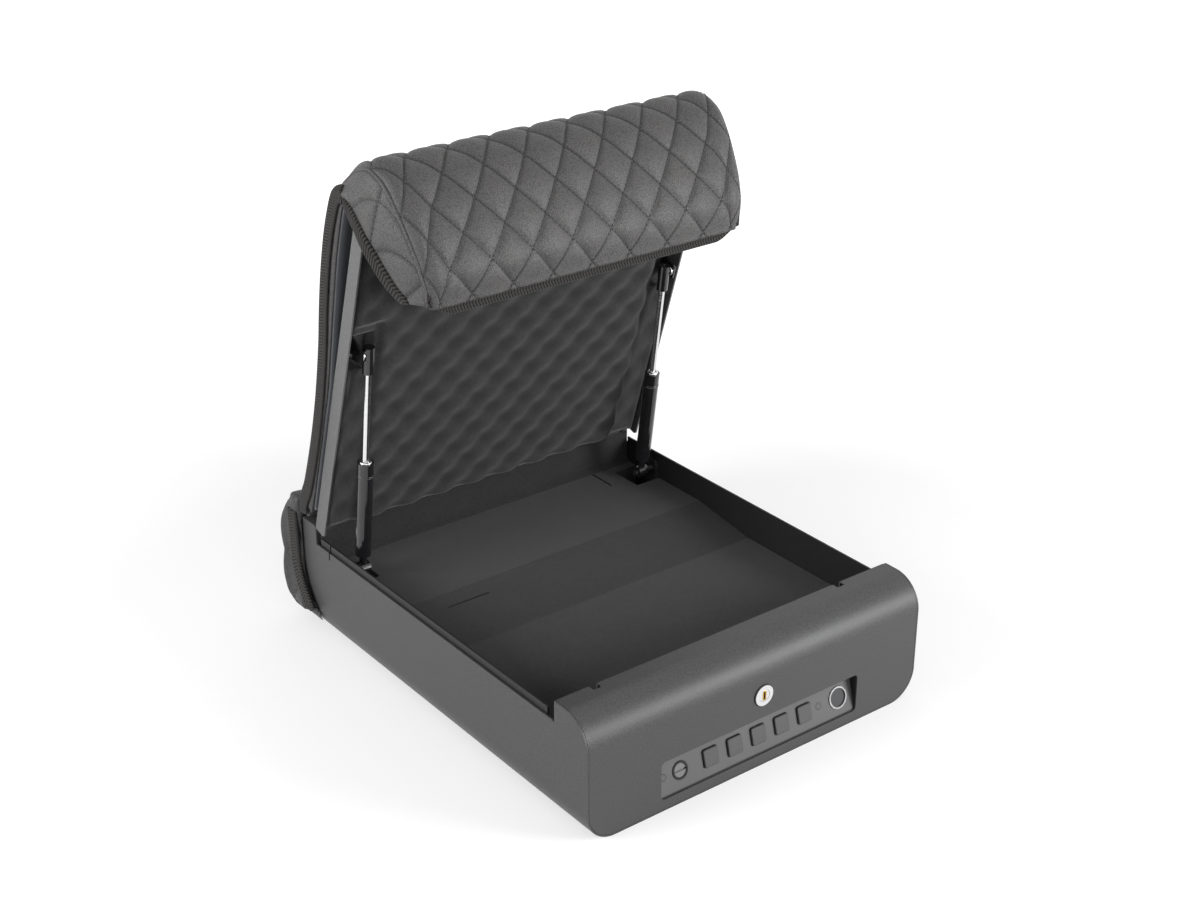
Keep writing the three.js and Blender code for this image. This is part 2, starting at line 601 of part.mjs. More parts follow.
// Angle bracket under the lid; its ball stud stops just short of the socket's plain side
function strutHead(lid, side, tag) {
  const [y, z] = [-BALL_ALONG, -BALL_IN];
  const roof = LID_UNDER - FIT;
  const web = STRUT_X + SOCKET_RADIUS + 2.6;
  const flat = (x0, x1, ...rest) => (side < 0 ? box(-x1, -x0, ...rest) : box(x0, x1, ...rest));
  const foot = flat(web, INNER - 2.4, y - 16, y + 16, roof - 2, roof);
  const shape = outline([
    [y - 12, roof - 1], [y - 6, z - 5], [y + 6, z - 5], [y + 12, roof - 1],
  ]);
  const plate = side < 0 ? alongX(shape, -web - 2, -web) : alongX(shape, web, web + 2);
  const tip = STRUT_X + SOCKET_RADIUS + FIT;
  const stud = side < 0
    ? rod("x", STUD_RADIUS, -web - 0.5, -tip, [y, z], 16)
    : rod("x", STUD_RADIUS, tip, web + 0.5, [y, z], 16);
  piece(lid, `strut_bracket_lid_${tag}`, join(foot, plate, stud), BLACK);
}

// Keypad housing: moulded tray behind the window, its face leaning back from the bottom edge
function keypadPieces() {
  const face = group(part, SHEET + FIT, PANEL_BOTTOM, -PANEL_TILT);
  const up = (z) => (z - PANEL_BOTTOM) / Math.cos(PANEL_TILT);
  const row = up(ROW_Z);
  const [x0, x1] = [PANEL_X - PANEL_WIDTH / 2, PANEL_X + PANEL_WIDTH / 2];
  const y0 = SHEET + FIT;
  const depth = PANEL_SINK + 6;
  const slope = Math.tan(PANEL_TILT);
  const [foot, head] = [PANEL_BOTTOM - PANEL_RIM, PANEL_TOP + PANEL_RIM];
  const block = box(x0 - PANEL_RIM, x1 + PANEL_RIM, y0, y0 + depth, foot, head);
  const recess = outline([[y0 - 1, PANEL_BOTTOM - slope], [y0 - 1, PANEL_TOP],
    [y0 + PANEL_SINK, PANEL_TOP], [y0, PANEL_BOTTOM]]);
  const wall = PANEL_WALL / Math.cos(PANEL_TILT);
  const back = outline([
    [y0 + wall, foot + 2], [y0 + wall, PANEL_BOTTOM],
    [y0 + PANEL_SINK + wall, PANEL_TOP], [y0 + PANEL_SINK + wall, PANEL_TOP + 2],
    [y0 + depth + 1, PANEL_TOP + 2], [y0 + depth + 1, foot + 2],
  ]);
  const shell = cut(block, alongX(recess, x0, x1), alongX(back, x0 + 1, x1 - 1));
  const turned = new THREE.Matrix4().makeRotationX(-PANEL_TILT).setPosition(0, y0, PANEL_BOTTOM);
  const holes = [
    ...buttonXs().map((x) => through(roundedRect(BUTTON_WIDTH + 0.8, BUTTON_HEIGHT + 0.8, BUTTON_CORNER + 0.4,
      x, row), turned)),
    ...[[CAP_X, CAP_RADIUS], [SENSOR_X, SENSOR_RING], ...LED_XS.map((x) => [x, LED_RADIUS])].map(([x, r]) =>
      through(new THREE.Shape().absarc(x, row, r + FIT, 0, Math.PI * 2), turned, 14)),
  ];
  piece(part, "keypad_housing", cut(shell, ...holes), PLASTIC);
  buttonXs().forEach((x, i) => {
    const cap = alongY(roundedRect(BUTTON_WIDTH, BUTTON_HEIGHT, BUTTON_CORNER, x, row), -0.5, PANEL_WALL + 1, 3);
    const lip = alongY(roundedRect(BUTTON_WIDTH + 3, BUTTON_HEIGHT + 3, BUTTON_CORNER, x, row),
      PANEL_WALL + FIT, PANEL_WALL + 1.6, 3);
    piece(face, `button_${i + 1}`, join(cap, lip), PLASTIC);
  });
  const mat = PANEL_WALL + 1.6 + BUTTON_TRAVEL + FIT;
  const half = ((BUTTON_COUNT - 1) * BUTTON_PITCH + BUTTON_WIDTH) / 2 + 3;
  const middle = BUTTON_FIRST_X + ((BUTTON_COUNT - 1) * BUTTON_PITCH) / 2;
  piece(face, "button_mat", box(middle - half, middle + half, mat, mat + 1.5, row - 12, row + 12), RUBBER);
  const boardY = mat + 1.5 + FIT;
  piece(face, "keypad_board", box(x0 + 4, x1 - 4, boardY, boardY + 1.6, row - 13, row + 12), BOARD);
  panelFittings(face, row, boardY);
}

const buttonXs = () => Array.from({ length: BUTTON_COUNT }, (_, i) => BUTTON_FIRST_X + i * BUTTON_PITCH);

function through(shape, matrix, arcSteps = 3) {
  const g = extrude(shape, 40, arcSteps).rotateX(Math.PI / 2).translate(0, 20, 0);
  return solid(g.applyMatrix4(matrix));
}

// Round fittings of the panel: coin-slot cap, fingerprint reader and its ring, two light windows
function panelFittings(face, row, boardY) {
  const cup = cut(
    rod("y", CAP_RADIUS, -0.6, boardY - FIT, [CAP_X, row], 32),
    rod("y", COIN_RADIUS + 0.25, -1, 4, [CAP_X, row], 32),
  );
  piece(face, "cap_bezel", cup, PLASTIC);
  const coin = cut(
    rod("y", COIN_RADIUS, 0, 4 - FIT, [CAP_X, row], 32),
    box(CAP_X - COIN_RADIUS - 1, CAP_X + COIN_RADIUS + 1, -1, 1.6, row - 0.9, row + 0.9),
  );
  piece(face, "coin_slot_cap", coin, ZINC);
  const ring = cut(
    rod("y", SENSOR_RING, -0.9, boardY - FIT, [SENSOR_X, row], 32),
    rod("y", SENSOR_RADIUS + 0.25, -2, 3, [SENSOR_X, row], 32),
  );
  piece(face, "fingerprint_ring", ring, BRIGHT);
  piece(face, "fingerprint_pad", rod("y", SENSOR_RADIUS, 0.4, 3 - FIT, [SENSOR_X, row], 32), BLACK);
  LED_XS.forEach((x, i) => {
    piece(face, i ? "light_window_right" : "light_window_left",
      rod("y", LED_RADIUS, 0, boardY - FIT, [x, row], 16), PLASTIC);
  });
}

// Key lock: flanged barrel, nut behind the fascia, turning plug with keyway and the cam with its peg
function lockPieces() {
  const c = [LOCK_X, LOCK_Z];
  const end = SHEET + LOCK_LENGTH;
  const barrel = cut(
    join(rod("y", LOCK_FLANGE, -1.6, -FIT, c, 32), rod("y", LOCK_BARREL, -1, end, c, 32)),
    rod("y", PLUG_RADIUS + 0.2, -2, end + 1, c, 24),
  );
  piece(part, "lock_barrel", barrel, BRIGHT);
  const nut = new THREE.Shape().absarc(LOCK_X, LOCK_Z, 12.5, 0, Math.PI * 2);
  const hex = cut(alongY(nut, SHEET + FIT, SHEET + 5, 3), rod("y", LOCK_BARREL + FIT, 0, 12, c, 32));
  piece(part, "lock_nut", hex, ZINC);
  const keyway = box(LOCK_X - 0.9, LOCK_X + 0.9, -2, 12, LOCK_Z - 3.8, LOCK_Z + 3.8);
  const tail = box(LOCK_X - 2.5, LOCK_X + 2.5, end - 1, end + CAM_THICK + FIT + 0.6, LOCK_Z - 2.5, LOCK_Z + 2.5);
  piece(part, "lock_plug", join(cut(rod("y", PLUG_RADIUS, -1.4, end, c, 24), keyway), tail), BRASS);
  const angle = -Math.PI / 4;
  const peg = [LOCK_X + CAM_ARM * Math.sin(angle), LOCK_Z + CAM_ARM * Math.cos(angle)];
  const hole = box(LOCK_X - 2.8, LOCK_X + 2.8, end, end + 9, LOCK_Z - 2.8, LOCK_Z + 2.8);
  const disc = cut(rod("y", CAM_ARM + 3, end + FIT, end + FIT + CAM_THICK, c, 24), hole);
  const finger = rod("y", PEG_RADIUS, end + CAM_THICK, LATCH_Y + LATCH_SHEET + 1.5, peg, 12);
  piece(part, "lock_cam", join(disc, finger), ZINC);
}

// Latch: a sliding bar behind the fascia, moved by the cam's peg or by the gearmotor's pinion
function latchPieces() {
  const [y0, y1] = [LATCH_Y, LATCH_Y + LATCH_SHEET];
  const barZ = LATCH_BAR;
  const [left, right] = STRIKER_XS;
  const pinY = NOSE_DEPTH + 3.8 - 5.6;
  const pinZ = HINGE_Z + LID_UNDER - 2 - FIT - 6;
  const bar = box(left - 16, right + 4, y0, y1, ...barZ);
  const pegX = LOCK_X - CAM_ARM * Math.SQRT1_2;
  const tab = box(pegX - 6, pegX + 6, y0, y1, LOCK_Z - 2, barZ[0] + 1);
  const slotHalf = PEG_RADIUS + 0.5;
  const slot = box(pegX - slotHalf, pegX + slotHalf, y0 - 1, y1 + 1, LOCK_Z + 1, LOCK_Z + CAM_ARM + 3);
  const arms = STRIKER_XS.flatMap((x) => [
    box(x - 13, x - 11, y0, y1, barZ[1] - 1, pinZ + 3),
    box(x - 13, x - 11, y0, pinY + 1.8, pinZ - 3, pinZ + 3),
    rod("x", LATCH_PIN_RADIUS, x - 11.5, x - 2.5, [pinY, pinZ], 12),
  ]);
  const gearX = PINION_X;
  const pitch = (GEAR_MODULE * GEAR_TEETH) / 2;
  const gearZ = barZ[0] - pitch - GEAR_MODULE;
  const rack = rackTeeth(gearX, barZ[0], y0, y1);
  piece(part, "latch_slide", cut(join(bar, tab, rack, ...arms), slot), ZINC);
  const pinion = cut(
    alongY(gearShape(gearX, gearZ), y0, y1 + 2, 2),
    rod("y", 1.6, y0 - 1, y1 + 4, [gearX, gearZ], 12),
  );
  piece(part, "latch_pinion", pinion, BRASS);
  const motor = join(
    rod("y", 1.3, y0 - 3, y1 + 3, [gearX, gearZ], 12),
    box(gearX - 14, gearX + 14, y0 - 15, y0 - 1, gearZ - 8, gearZ + 8),
    rod("x", 7, gearX + 13, gearX + 38, [y0 - 8, gearZ], 20),
  );
  piece(part, "latch_motor", motor, ZINC);
  for (const [i, x] of GUIDE_XS.entries()) {
    const [z0, z1] = [barZ[0] - 4, barZ[1] + 4];
    const back = BULKHEAD_Y - FIT;
    const body = box(x - 6, x + 6, y0 - 3, back, z0, z1);
    const channel = box(x - 7, x + 7, y0 - FIT, y1 + FIT, barZ[0] - FIT, barZ[1] + FIT);
    piece(part, i ? "latch_guide_right" : "latch_guide_left", cut(body, channel), PLASTIC);
  }
}

function gearShape(x, z) {
  const s = new THREE.Shape();
  const pitch = (GEAR_MODULE * GEAR_TEETH) / 2;
  const step = (Math.PI * 2) / GEAR_TEETH;
  for (let i = 0; i < GEAR_TEETH; i++) {
    const profile = [[-0.36, pitch - 1.2], [-0.14, pitch + 0.8], [0.14, pitch + 0.8], [0.36, pitch - 1.2]];
    profile.forEach(([share, r], k) => {
      const a = Math.PI / 2 + (i + share) * step;
      const p = [x + r * Math.cos(a), z + r * Math.sin(a)];
      if (i || k) s.lineTo(...p);
      else s.moveTo(...p);
    });
  }
  return s;
}

// Teeth under the bar, half a pitch out of step with the pinion's top tooth
function rackTeeth(x, z, y0, y1) {
  const pitch = Math.PI * GEAR_MODULE;
  const s = new THREE.Shape();
  const count = 8;
  s.moveTo(x - 3 * pitch, z + 1);
  for (let i = -3; i < count - 3; i++) {
    const c = x + (i + 0.5) * pitch;
    s.lineTo(c - 1, z);
    s.lineTo(c - 0.35, z - 1.7);
    s.lineTo(c + 0.35, z - 1.7);
    s.lineTo(c + 1, z);
  }
  s.lineTo(x + (count - 3) * pitch, z + 1);
  return alongY(s, y0, y1);
}

// Closed battery case behind the fascia, between the left side and the keypad, hung from its ear
function batteryPiece() {
  const [x0, x1] = [-INNER + 9.9, PANEL_X - PANEL_WIDTH / 2 - PANEL_RIM - 9.1];
  const [y, z, h, d] = [6, 45, 30, 32];
  const shell = alongY(roundedRect(x1 - x0, h, 3, (x0 + x1) / 2, z), y, y + d, 3);
  const ear = box(x0, x1, SHEET + FIT, y + 0.5, z + h / 2 - 4, z + h / 2);
  piece(part, "battery_case", join(shell, ear), BLACK);
}

// Cover profiles in the lid's frame, given as distance from the hinge and depth inward from the axis.
// They are drawn for a lid 375 long, and grow with it from the lid's outer face.
const COVER_SCALE = LID_LENGTH / 375;
const lidPoint = ([along, inward]) => [-along * COVER_SCALE, LID_TOP - (inward + LID_TOP) * COVER_SCALE];

function coverPieces(lid) {
  const outer = [
    [21, -26], [33, -22.5], [48, -20], [89, -18], [123, -18.5], [157, -20], [200, -24], [240, -30],
    [274, -34], [310, -36], [338, -35], [361.5, -32],
  ];
  const inner = [[361.5, -16.5], [348, -18], [302, -18], [241, -13], [178, -7], [156, -6], [21, -6]];
  const pad = alongX(outline([...outer, ...inner].map(lidPoint).reverse()), -COVER_HALF + FIT, COVER_HALF - FIT);
  piece(lid, "lid_cushion", pad, LEATHER);
  const lining = [[21, -6 + FIT], [156, -6 + FIT], [178, -7 + FIT], [241, -13 + FIT], [302, -18 + FIT],
    [348, -18 + FIT], [360, -16.1], [360, -13.5], [348, -14.5], [302, -14.5], [241, -9.5], [178, -3.5],
    [156, -2.9], [21, -2.9]];
  const liningHalf = COVER_HALF - FIT;
  piece(lid, "cover_lining", alongX(outline(lining.map(lidPoint)), -liningHalf, liningHalf), LINING);
  for (const side of [-1, 1]) {
    const edge = [[21, -27], [33, -23.5], [48, -21], [89, -16], [123, -18], [157, -20], [200, -24], [240, -31],
      [274, -35], [310, -36.8], [338, -35], [362, -34]];
    const back = [...edge].reverse().map(([a, b]) => [a, Math.min(b + WEB_WIDTH, -LID_TOP - 0.5)]);
    const strip = outline([...edge, ...back].map(lidPoint).reverse());
    const [a, b] = [COVER_HALF, COVER_HALF + WEB_THICK];
    piece(lid, side < 0 ? "lid_binding_left" : "lid_binding_right",
      side < 0 ? alongX(strip, -b, -a) : alongX(strip, a, b), WEBBING);
  }
}

// Hood: the outer skin of its panel, from the fold line over the top and down to the hem
const HOOD_SKIN = [
  [368, -30], [380, -26], [392, -17], [402, -4], [404, 8], [401, 25], [390, 43], [375, 61], [358, 78],
  [339, 91], [318, 98],
];
const skin = new THREE.CatmullRomCurve3(
  HOOD_SKIN.map((p) => new THREE.Vector3(0, ...lidPoint(p))), false, "centripetal");

// Point of the hood in the lid's frame: share t of the way to the hem, and deep under the skin
function hoodPoint(t, deep) {
  const p = skin.getPointAt(t);
  const d = skin.getTangentAt(t);
  return [p.y - d.z * deep, p.z + d.y * deep];
}

const hoodWide = (t) => HOOD_HALF - (HOOD_HALF - HOOD_HEM_HALF) * t ** 2;

function hoodPieces(lid) {
  const length = skin.getLength();
  const rows = Math.round(length / (QUILT_PITCH / 4));
  const columns = 30;
  const across = (t, j) => hoodWide(t) * (-1 + (2 * j) / columns);
  const outer = (i, j) => {
    const t = i / rows;
    const rim = i === 0 || i === rows || j === 0 || j === columns;
    const x = across(t, j);
    return [x, ...hoodPoint(t, rim ? 0 : -quiltHeight(x, t * length))];
  };
  const inner = (i, j) => [across(i / rows, j), ...hoodPoint(i / rows, HOOD_THICK)];
  piece(lid, "hood_panel", shell(rows, columns, outer, inner), LEATHER);
  hemPiece(lid);
  for (const side of [-1, 1]) gussetPiece(lid, side);
}

// Height of the quilting over its seams: seams run both ways at a slant and cross in diamonds
function quiltHeight(x, s) {
  const u = Math.abs(Math.sin((Math.PI * (x + s * 0.8)) / QUILT_PITCH));
  const v = Math.abs(Math.sin((Math.PI * (x - s * 0.8)) / QUILT_PITCH));
  return QUILT_PUFF * Math.sqrt(u * v);
}

// Webbing along the hem, across the panel's thickness
function hemPiece(lid) {
  const [y, z] = hoodPoint(1, 0);
  const [y2, z2] = hoodPoint(1, HOOD_THICK);
  const [ty, tz] = [(z2 - z) / HOOD_THICK, -(y2 - y) / HOOD_THICK];
  const corner = (py, pz, run) => [py + ty * run, pz + tz * run];
  const strip = outline([corner(y, z, FIT), corner(y, z, 2), corner(y2, z2, 2), corner(y2, z2, FIT)]);
  piece(lid, "hood_hem_binding", alongX(strip, -HOOD_HEM_HALF + 3, HOOD_HEM_HALF - 3), WEBBING);
}

// Rear edge of an end gusset: distance from the hinge, inward, and how far it draws in from its widest
const GUSSET_EDGE = [
  [363, -12, 0], [355, -3, 0], [348, 10, 0], [340, 23, 0], [331, 35, 3], [321, 47, 7], [313, 57, 12],
  [308, 64, 18],
];

// End gusset: soft web from the panel's inner side, round the lid's corner to its own bound rear edge
function gussetPiece(lid, side) {
  const last = GUSSET_EDGE.length - 1;
  const web = 3;
  const cornerAlong = LID_LENGTH + 2.5;
  const widest = HALF + 2 * FIT + web;
  const rows = GUSSET_EDGE.map(([along, inward, drawn], i) => {
    const half = widest - drawn;
    const rear = lidPoint([along, inward]);
    const t = 0.07 + (0.9 * i) / last;
    const front = hoodPoint(t, HOOD_THICK + 0.6);
    const middle = [front[0] * 0.6 + rear[0] * 0.4, front[1] * 0.6 + rear[1] * 0.4];
    const byCorner = rear[1] > -FLANGE_DEPTH - 10;
    const bend = byCorner ? [widest, Math.min(middle[0], -cornerAlong), middle[1]] : [
      Math.max(hoodWide(t), half - 2), ...middle];
    return [[hoodWide(t) - 1, ...front], bend, [half, ...rear]];
  });
  const face = (deep) => (i, j) => {
    const [x, y, z] = rows[i][2 - j];
    return [side * (x - deep), y, z];
  };
  const [first, second] = side < 0 ? [0, web] : [web, 0];
  piece(lid, side < 0 ? "hood_gusset_left" : "hood_gusset_right", shell(last, 2, face(first), face(second)), LEATHER);
}

// Rear bolster: padded back of the cover, with a top roll and wings round the body's corners
function bolsterPieces() {
  const back = BODY_DEPTH;
  const top = BODY_HEIGHT;
  const lapped = (share) => back - share * BOLSTER_LAP;
  const proud = (share) => back + share * BOLSTER_BACK;
  const roll = (share) => top + share * BOLSTER_TOP;
  const wingEdge = [[lapped(1), 0.6 * top], [lapped(1.36), 0.424 * top], [lapped(2.07), 0.263 * top]];
  const s = outline([
    [lapped(1), top + 1], [lapped(1.1), roll(0.55)], [lapped(0.7), roll(1)], [proud(0.18), roll(0.95)],
    [proud(0.7), roll(0.45)], [proud(1), 0.88 * top], [proud(1), 0.356 * top], [proud(0.82), 0.136 * top],
    [proud(0.35), 0.042 * top], [back, 0.034 * top], [lapped(2.57), 0.068 * top], [lapped(3), 0.144 * top],
    ...[...wingEdge].reverse(),
  ]);
  const half = HALF + WING + FIT;
  const pad = alongX(s, -half, half).intersect(alongY(bodySection(WING, top + 40), 0, back + 40));
  const body = join(
    alongY(bodySection(FIT, top + FIT), 0, back + FIT),
    box(-HALF + 1, HALF - 1, 0, back + FIT, -10, LOWER_RADIUS),
  );
  piece(part, "rear_bolster", cut(pad, body), LEATHER);
  const edge = [[lapped(1), roll(0.2)], ...wingEdge, [lapped(2.64), 0.19 * top]];
  const strip = outline([...edge, ...[...edge].reverse().map(([y, z]) => [y + WEB_WIDTH - 1, z])]);
  for (const side of [-1, 1]) {
    const [a, b] = [HALF + WING + FIT, HALF + WING + FIT + WEB_THICK];
    piece(part, side < 0 ? "rear_binding_left" : "rear_binding_right",
      side < 0 ? alongX(strip, -b, -a) : alongX(strip, a, b), WEBBING);
  }
}

const lidGroup = group(part, HINGE_Y, HINGE_Z, -OPEN);
bodyPieces();
floorFoam();
lidPan(lidGroup);
hingePieces(lidGroup);
eggCrate(lidGroup);
strikers(lidGroup);
strutPieces(lidGroup);
keypadPieces();
lockPieces();
latchPieces();
batteryPiece();
coverPieces(lidGroup);
hoodPieces(lidGroup);
bolsterPieces();

export default part;
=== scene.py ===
import bpy
import bmesh
import fnmatch
import math
from mathutils import Matrix, Vector, noise


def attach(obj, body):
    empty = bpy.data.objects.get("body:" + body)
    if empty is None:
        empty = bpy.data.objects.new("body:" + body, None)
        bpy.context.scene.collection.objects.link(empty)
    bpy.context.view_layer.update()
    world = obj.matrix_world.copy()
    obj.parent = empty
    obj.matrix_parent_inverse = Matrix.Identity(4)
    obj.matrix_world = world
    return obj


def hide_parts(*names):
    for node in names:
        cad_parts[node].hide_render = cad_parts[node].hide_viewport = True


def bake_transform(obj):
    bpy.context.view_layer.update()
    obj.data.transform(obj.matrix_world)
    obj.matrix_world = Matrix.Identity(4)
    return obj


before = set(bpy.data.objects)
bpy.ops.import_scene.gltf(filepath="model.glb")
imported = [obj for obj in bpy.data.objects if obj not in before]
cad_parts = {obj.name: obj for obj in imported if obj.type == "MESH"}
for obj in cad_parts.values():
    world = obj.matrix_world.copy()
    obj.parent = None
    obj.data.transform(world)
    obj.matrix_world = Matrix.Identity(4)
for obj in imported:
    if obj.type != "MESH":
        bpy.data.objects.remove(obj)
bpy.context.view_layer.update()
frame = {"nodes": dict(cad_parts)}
nodes = frame["nodes"]
print("frame loaded:", len(nodes), "nodes")

mm = 0.001
sides = (("left", -1), ("right", 1))


def placed(name, data):
    made = bpy.data.objects.new(name, data)
    bpy.context.scene.collection.objects.link(made)
    return made


# camera, from the photograph's straight edges
camera = {"place": (-0.9653, -1.2559, 0.9795), "azimuth": -37.62, "down": 25.73, "lens": 58.39, "sensor": 36.0}

lens = bpy.data.cameras.new("camera")
lens.lens = camera["lens"]
lens.sensor_width = camera["sensor"]
lens.clip_start = 0.05
lens.clip_end = 20.0
eye = placed("camera", lens)
eye.location = camera["place"]
eye.rotation_euler = (math.radians(90 - camera["down"]), 0, math.radians(camera["azimuth"]))
bpy.context.scene.camera = eye
bpy.context.scene.view_settings.view_transform = "Standard"
print("camera set")


# materials: small helpers, then one function for each finish
def startFinish(name, colour, roughness, metallic=0.0):
    finish = bpy.data.materials.new(name)
    finish.use_nodes = True
    tree = finish.node_tree
    shader = tree.nodes["Principled BSDF"]
    setSockets(shader, {"Base Color": (*colour, 1), "Roughness": roughness, "Metallic": metallic})
    return finish, tree, shader, objectPlace(tree)


def setSockets(node, values):
    # a plain value is set on the socket, and another node's output is linked to it
    for socket, value in values.items():
        if isinstance(value, bpy.types.NodeSocket):
            node.id_data.links.new(value, node.inputs[socket])
        else:
            node.inputs[socket].default_value = value


def added(tree, kind, values=None, **settings):
    node = tree.nodes.new("ShaderNode" + kind)
    for setting, value in settings.items():
        setattr(node, setting, value)
    setSockets(node, values or {})
    return node


def toned(colour, share):
    return tuple(c * share for c in colour)


def grey(level):
    return level, level, level


def objectPlace(tree):
    return added(tree, "TexCoord").outputs["Object"]


def axes(tree, place=None):
    return added(tree, "SeparateXYZ", {0: place or objectPlace(tree)}).outputs


def stretched(tree, place, scale):
    return added(tree, "Mapping", {"Scale": scale, "Vector": place}).outputs["Vector"]


def cloud(tree, place, scale, detail=2.0, rough=0.5):
    values = {"Scale": scale, "Detail": detail, "Roughness": rough, "Vector": place}
    return added(tree, "TexNoise", values).outputs["Fac"]


def cells(tree, place, scale, feature="F1"):
    return added(tree, "TexVoronoi", {"Scale": scale, "Vector": place}, feature=feature).outputs["Distance"]


def pieceValue(tree, name):
    return added(tree, "Attribute", attribute_name=name).outputs["Fac"]


def ramp(tree, factor, low, high, first, last):
    node = added(tree, "ValToRGB", {"Fac": factor})
    for stop, position, colour in zip(node.color_ramp.elements, (low, high), (first, last)):
        stop.position = position
        stop.color = (*colour, 1)
    return node.outputs["Color"]


def span(tree, value, low, high, newLow, newHigh):
    values = {"From Min": low, "From Max": high, "To Min": newLow, "To Max": newHigh, "Value": value}
    return added(tree, "MapRange", values).outputs["Result"]


def sums(tree, first, second, how="ADD"):
    return added(tree, "Math", {0: first, 1: second}, operation=how).outputs[0]


def bump(tree, shader, height, strength, depth):
    node = added(tree, "Bump", {"Strength": strength, "Distance": depth, "Height": height})
    setSockets(shader, {"Normal": node.outputs["Normal"]})


def blendColours(tree, factor, first, second, how="MIX"):
    node = added(tree, "Mix", {0: factor}, data_type="RGBA", blend_type=how)
    for socket, value in zip([s for s in node.inputs if s.type == "RGBA"], (first, second)):
        if isinstance(value, tuple):
            socket.default_value = (*value, 1)
        else:
            tree.links.new(value, socket)
    return [s for s in node.outputs if s.type == "RGBA"][0]


def multiplied(tree, first, second):
    return blendColours(tree, 1.0, first, second, "MULTIPLY")


def powderCoat(name, colour, roughness=0.42, grain=1100):
    finish, tree, shader, place = startFinish(name, colour, roughness)
    fine = cloud(tree, place, grain, 1.5, 0.6)
    slow = cloud(tree, place, 9, 2)
    speck = ramp(tree, fine, 0.36, 0.64, toned(colour, 0.72), toned(colour, 1.28))
    shade = ramp(tree, slow, 0.3, 0.7, grey(0.96), grey(1))
    setSockets(shader, {"Base Color": multiplied(tree, speck, shade), "Specular IOR Level": 0.32,
                        "Roughness": span(tree, fine, 0.3, 0.7, roughness - 0.05, roughness + 0.07)})
    bump(tree, shader, fine, 0.65, 0.00028)
    return finish


def mouldedPlastic(name, colour, roughness, grain=2600, depth=0.00006):
    finish, tree, shader, place = startFinish(name, colour, roughness)
    fine = cloud(tree, place, grain, 2, 0.55)
    slow = cloud(tree, place, 22, 2)
    setSockets(shader, {"Base Color": ramp(tree, slow, 0.35, 0.65, toned(colour, 0.94), toned(colour, 1.05)),
                        "Roughness": span(tree, fine, 0.3, 0.7, roughness - 0.06, roughness + 0.06)})
    bump(tree, shader, fine, 0.4, depth)
    return finish


def glossEnamel(name, colour):
    finish, tree, shader, place = startFinish(name, colour, 0.16)
    peel = cloud(tree, place, 260, 1)
    smear = cloud(tree, place, 60, 3)
    setSockets(shader, {"Base Color": ramp(tree, smear, 0.3, 0.7, colour, toned(colour, 1.5)),
                        "Roughness": span(tree, smear, 0.35, 0.7, 0.1, 0.24),
                        "Coat Weight": 0.6, "Coat Roughness": 0.06})
    bump(tree, shader, peel, 0.12, 0.00015)
    return finish


def polishedMetal(name, colour, roughness):
    finish, tree, shader, place = startFinish(name, colour, roughness, 1.0)
    lines = cloud(tree, stretched(tree, place, (30, 30, 900)), 1.0, 3, 0.6)
    setSockets(shader, {"Base Color": ramp(tree, lines, 0.3, 0.7, toned(colour, 0.9), colour),
                        "Roughness": span(tree, lines, 0.3, 0.7, roughness * 0.7, roughness * 1.4)})
    bump(tree, shader, lines, 0.08, 0.00005)
    return finish


def zincPlate(name, colour, roughness):
    finish, tree, shader, place = startFinish(name, colour, roughness, 0.9)
    patches = cells(tree, place, 420)
    fog = cloud(tree, place, 90, 4)
    tint = ramp(tree, sums(tree, patches, fog), 0.4, 1.1, toned(colour, 0.75), colour)
    setSockets(shader, {"Base Color": tint, "Roughness": span(tree, fog, 0.3, 0.7, roughness - 0.08, roughness + 0.12)})
    bump(tree, shader, fog, 0.1, 0.0001)
    return finish


def napFoam(name, colour, nap=1900, sheen=0.2, hollowShade=0.0):
    # the share given last darkens, as painted shade, the hollows of an egg-crate surface that a vertex attribute marks
    finish, tree, shader, place = startFinish(name, colour, 0.95)
    fibres = cloud(tree, place, nap, 4, 0.7)
    tufts = cloud(tree, place, 330, 3, 0.65)
    blotch = cloud(tree, place, 28, 4, 0.6)
    base = ramp(tree, fibres, 0.32, 0.68, toned(colour, 0.6), toned(colour, 1.45))
    patch = ramp(tree, blotch, 0.3, 0.7, grey(0.9), grey(1))
    base = multiplied(tree, base, ramp(tree, tufts, 0.3, 0.7, grey(0.78), grey(1.12)))
    base = multiplied(tree, base, patch)
    if hollowShade:
        shade = ramp(tree, pieceValue(tree, "hollowShade"), 0.0, 1.0, grey(1), grey(1 - hollowShade))
        base = multiplied(tree, base, shade)
    setSockets(shader, {"Base Color": base, "Sheen Weight": sheen, "Sheen Roughness": 0.5,
                        "Specular IOR Level": 0.15})
    bump(tree, shader, fibres, 0.6, 0.0004)
    return finish


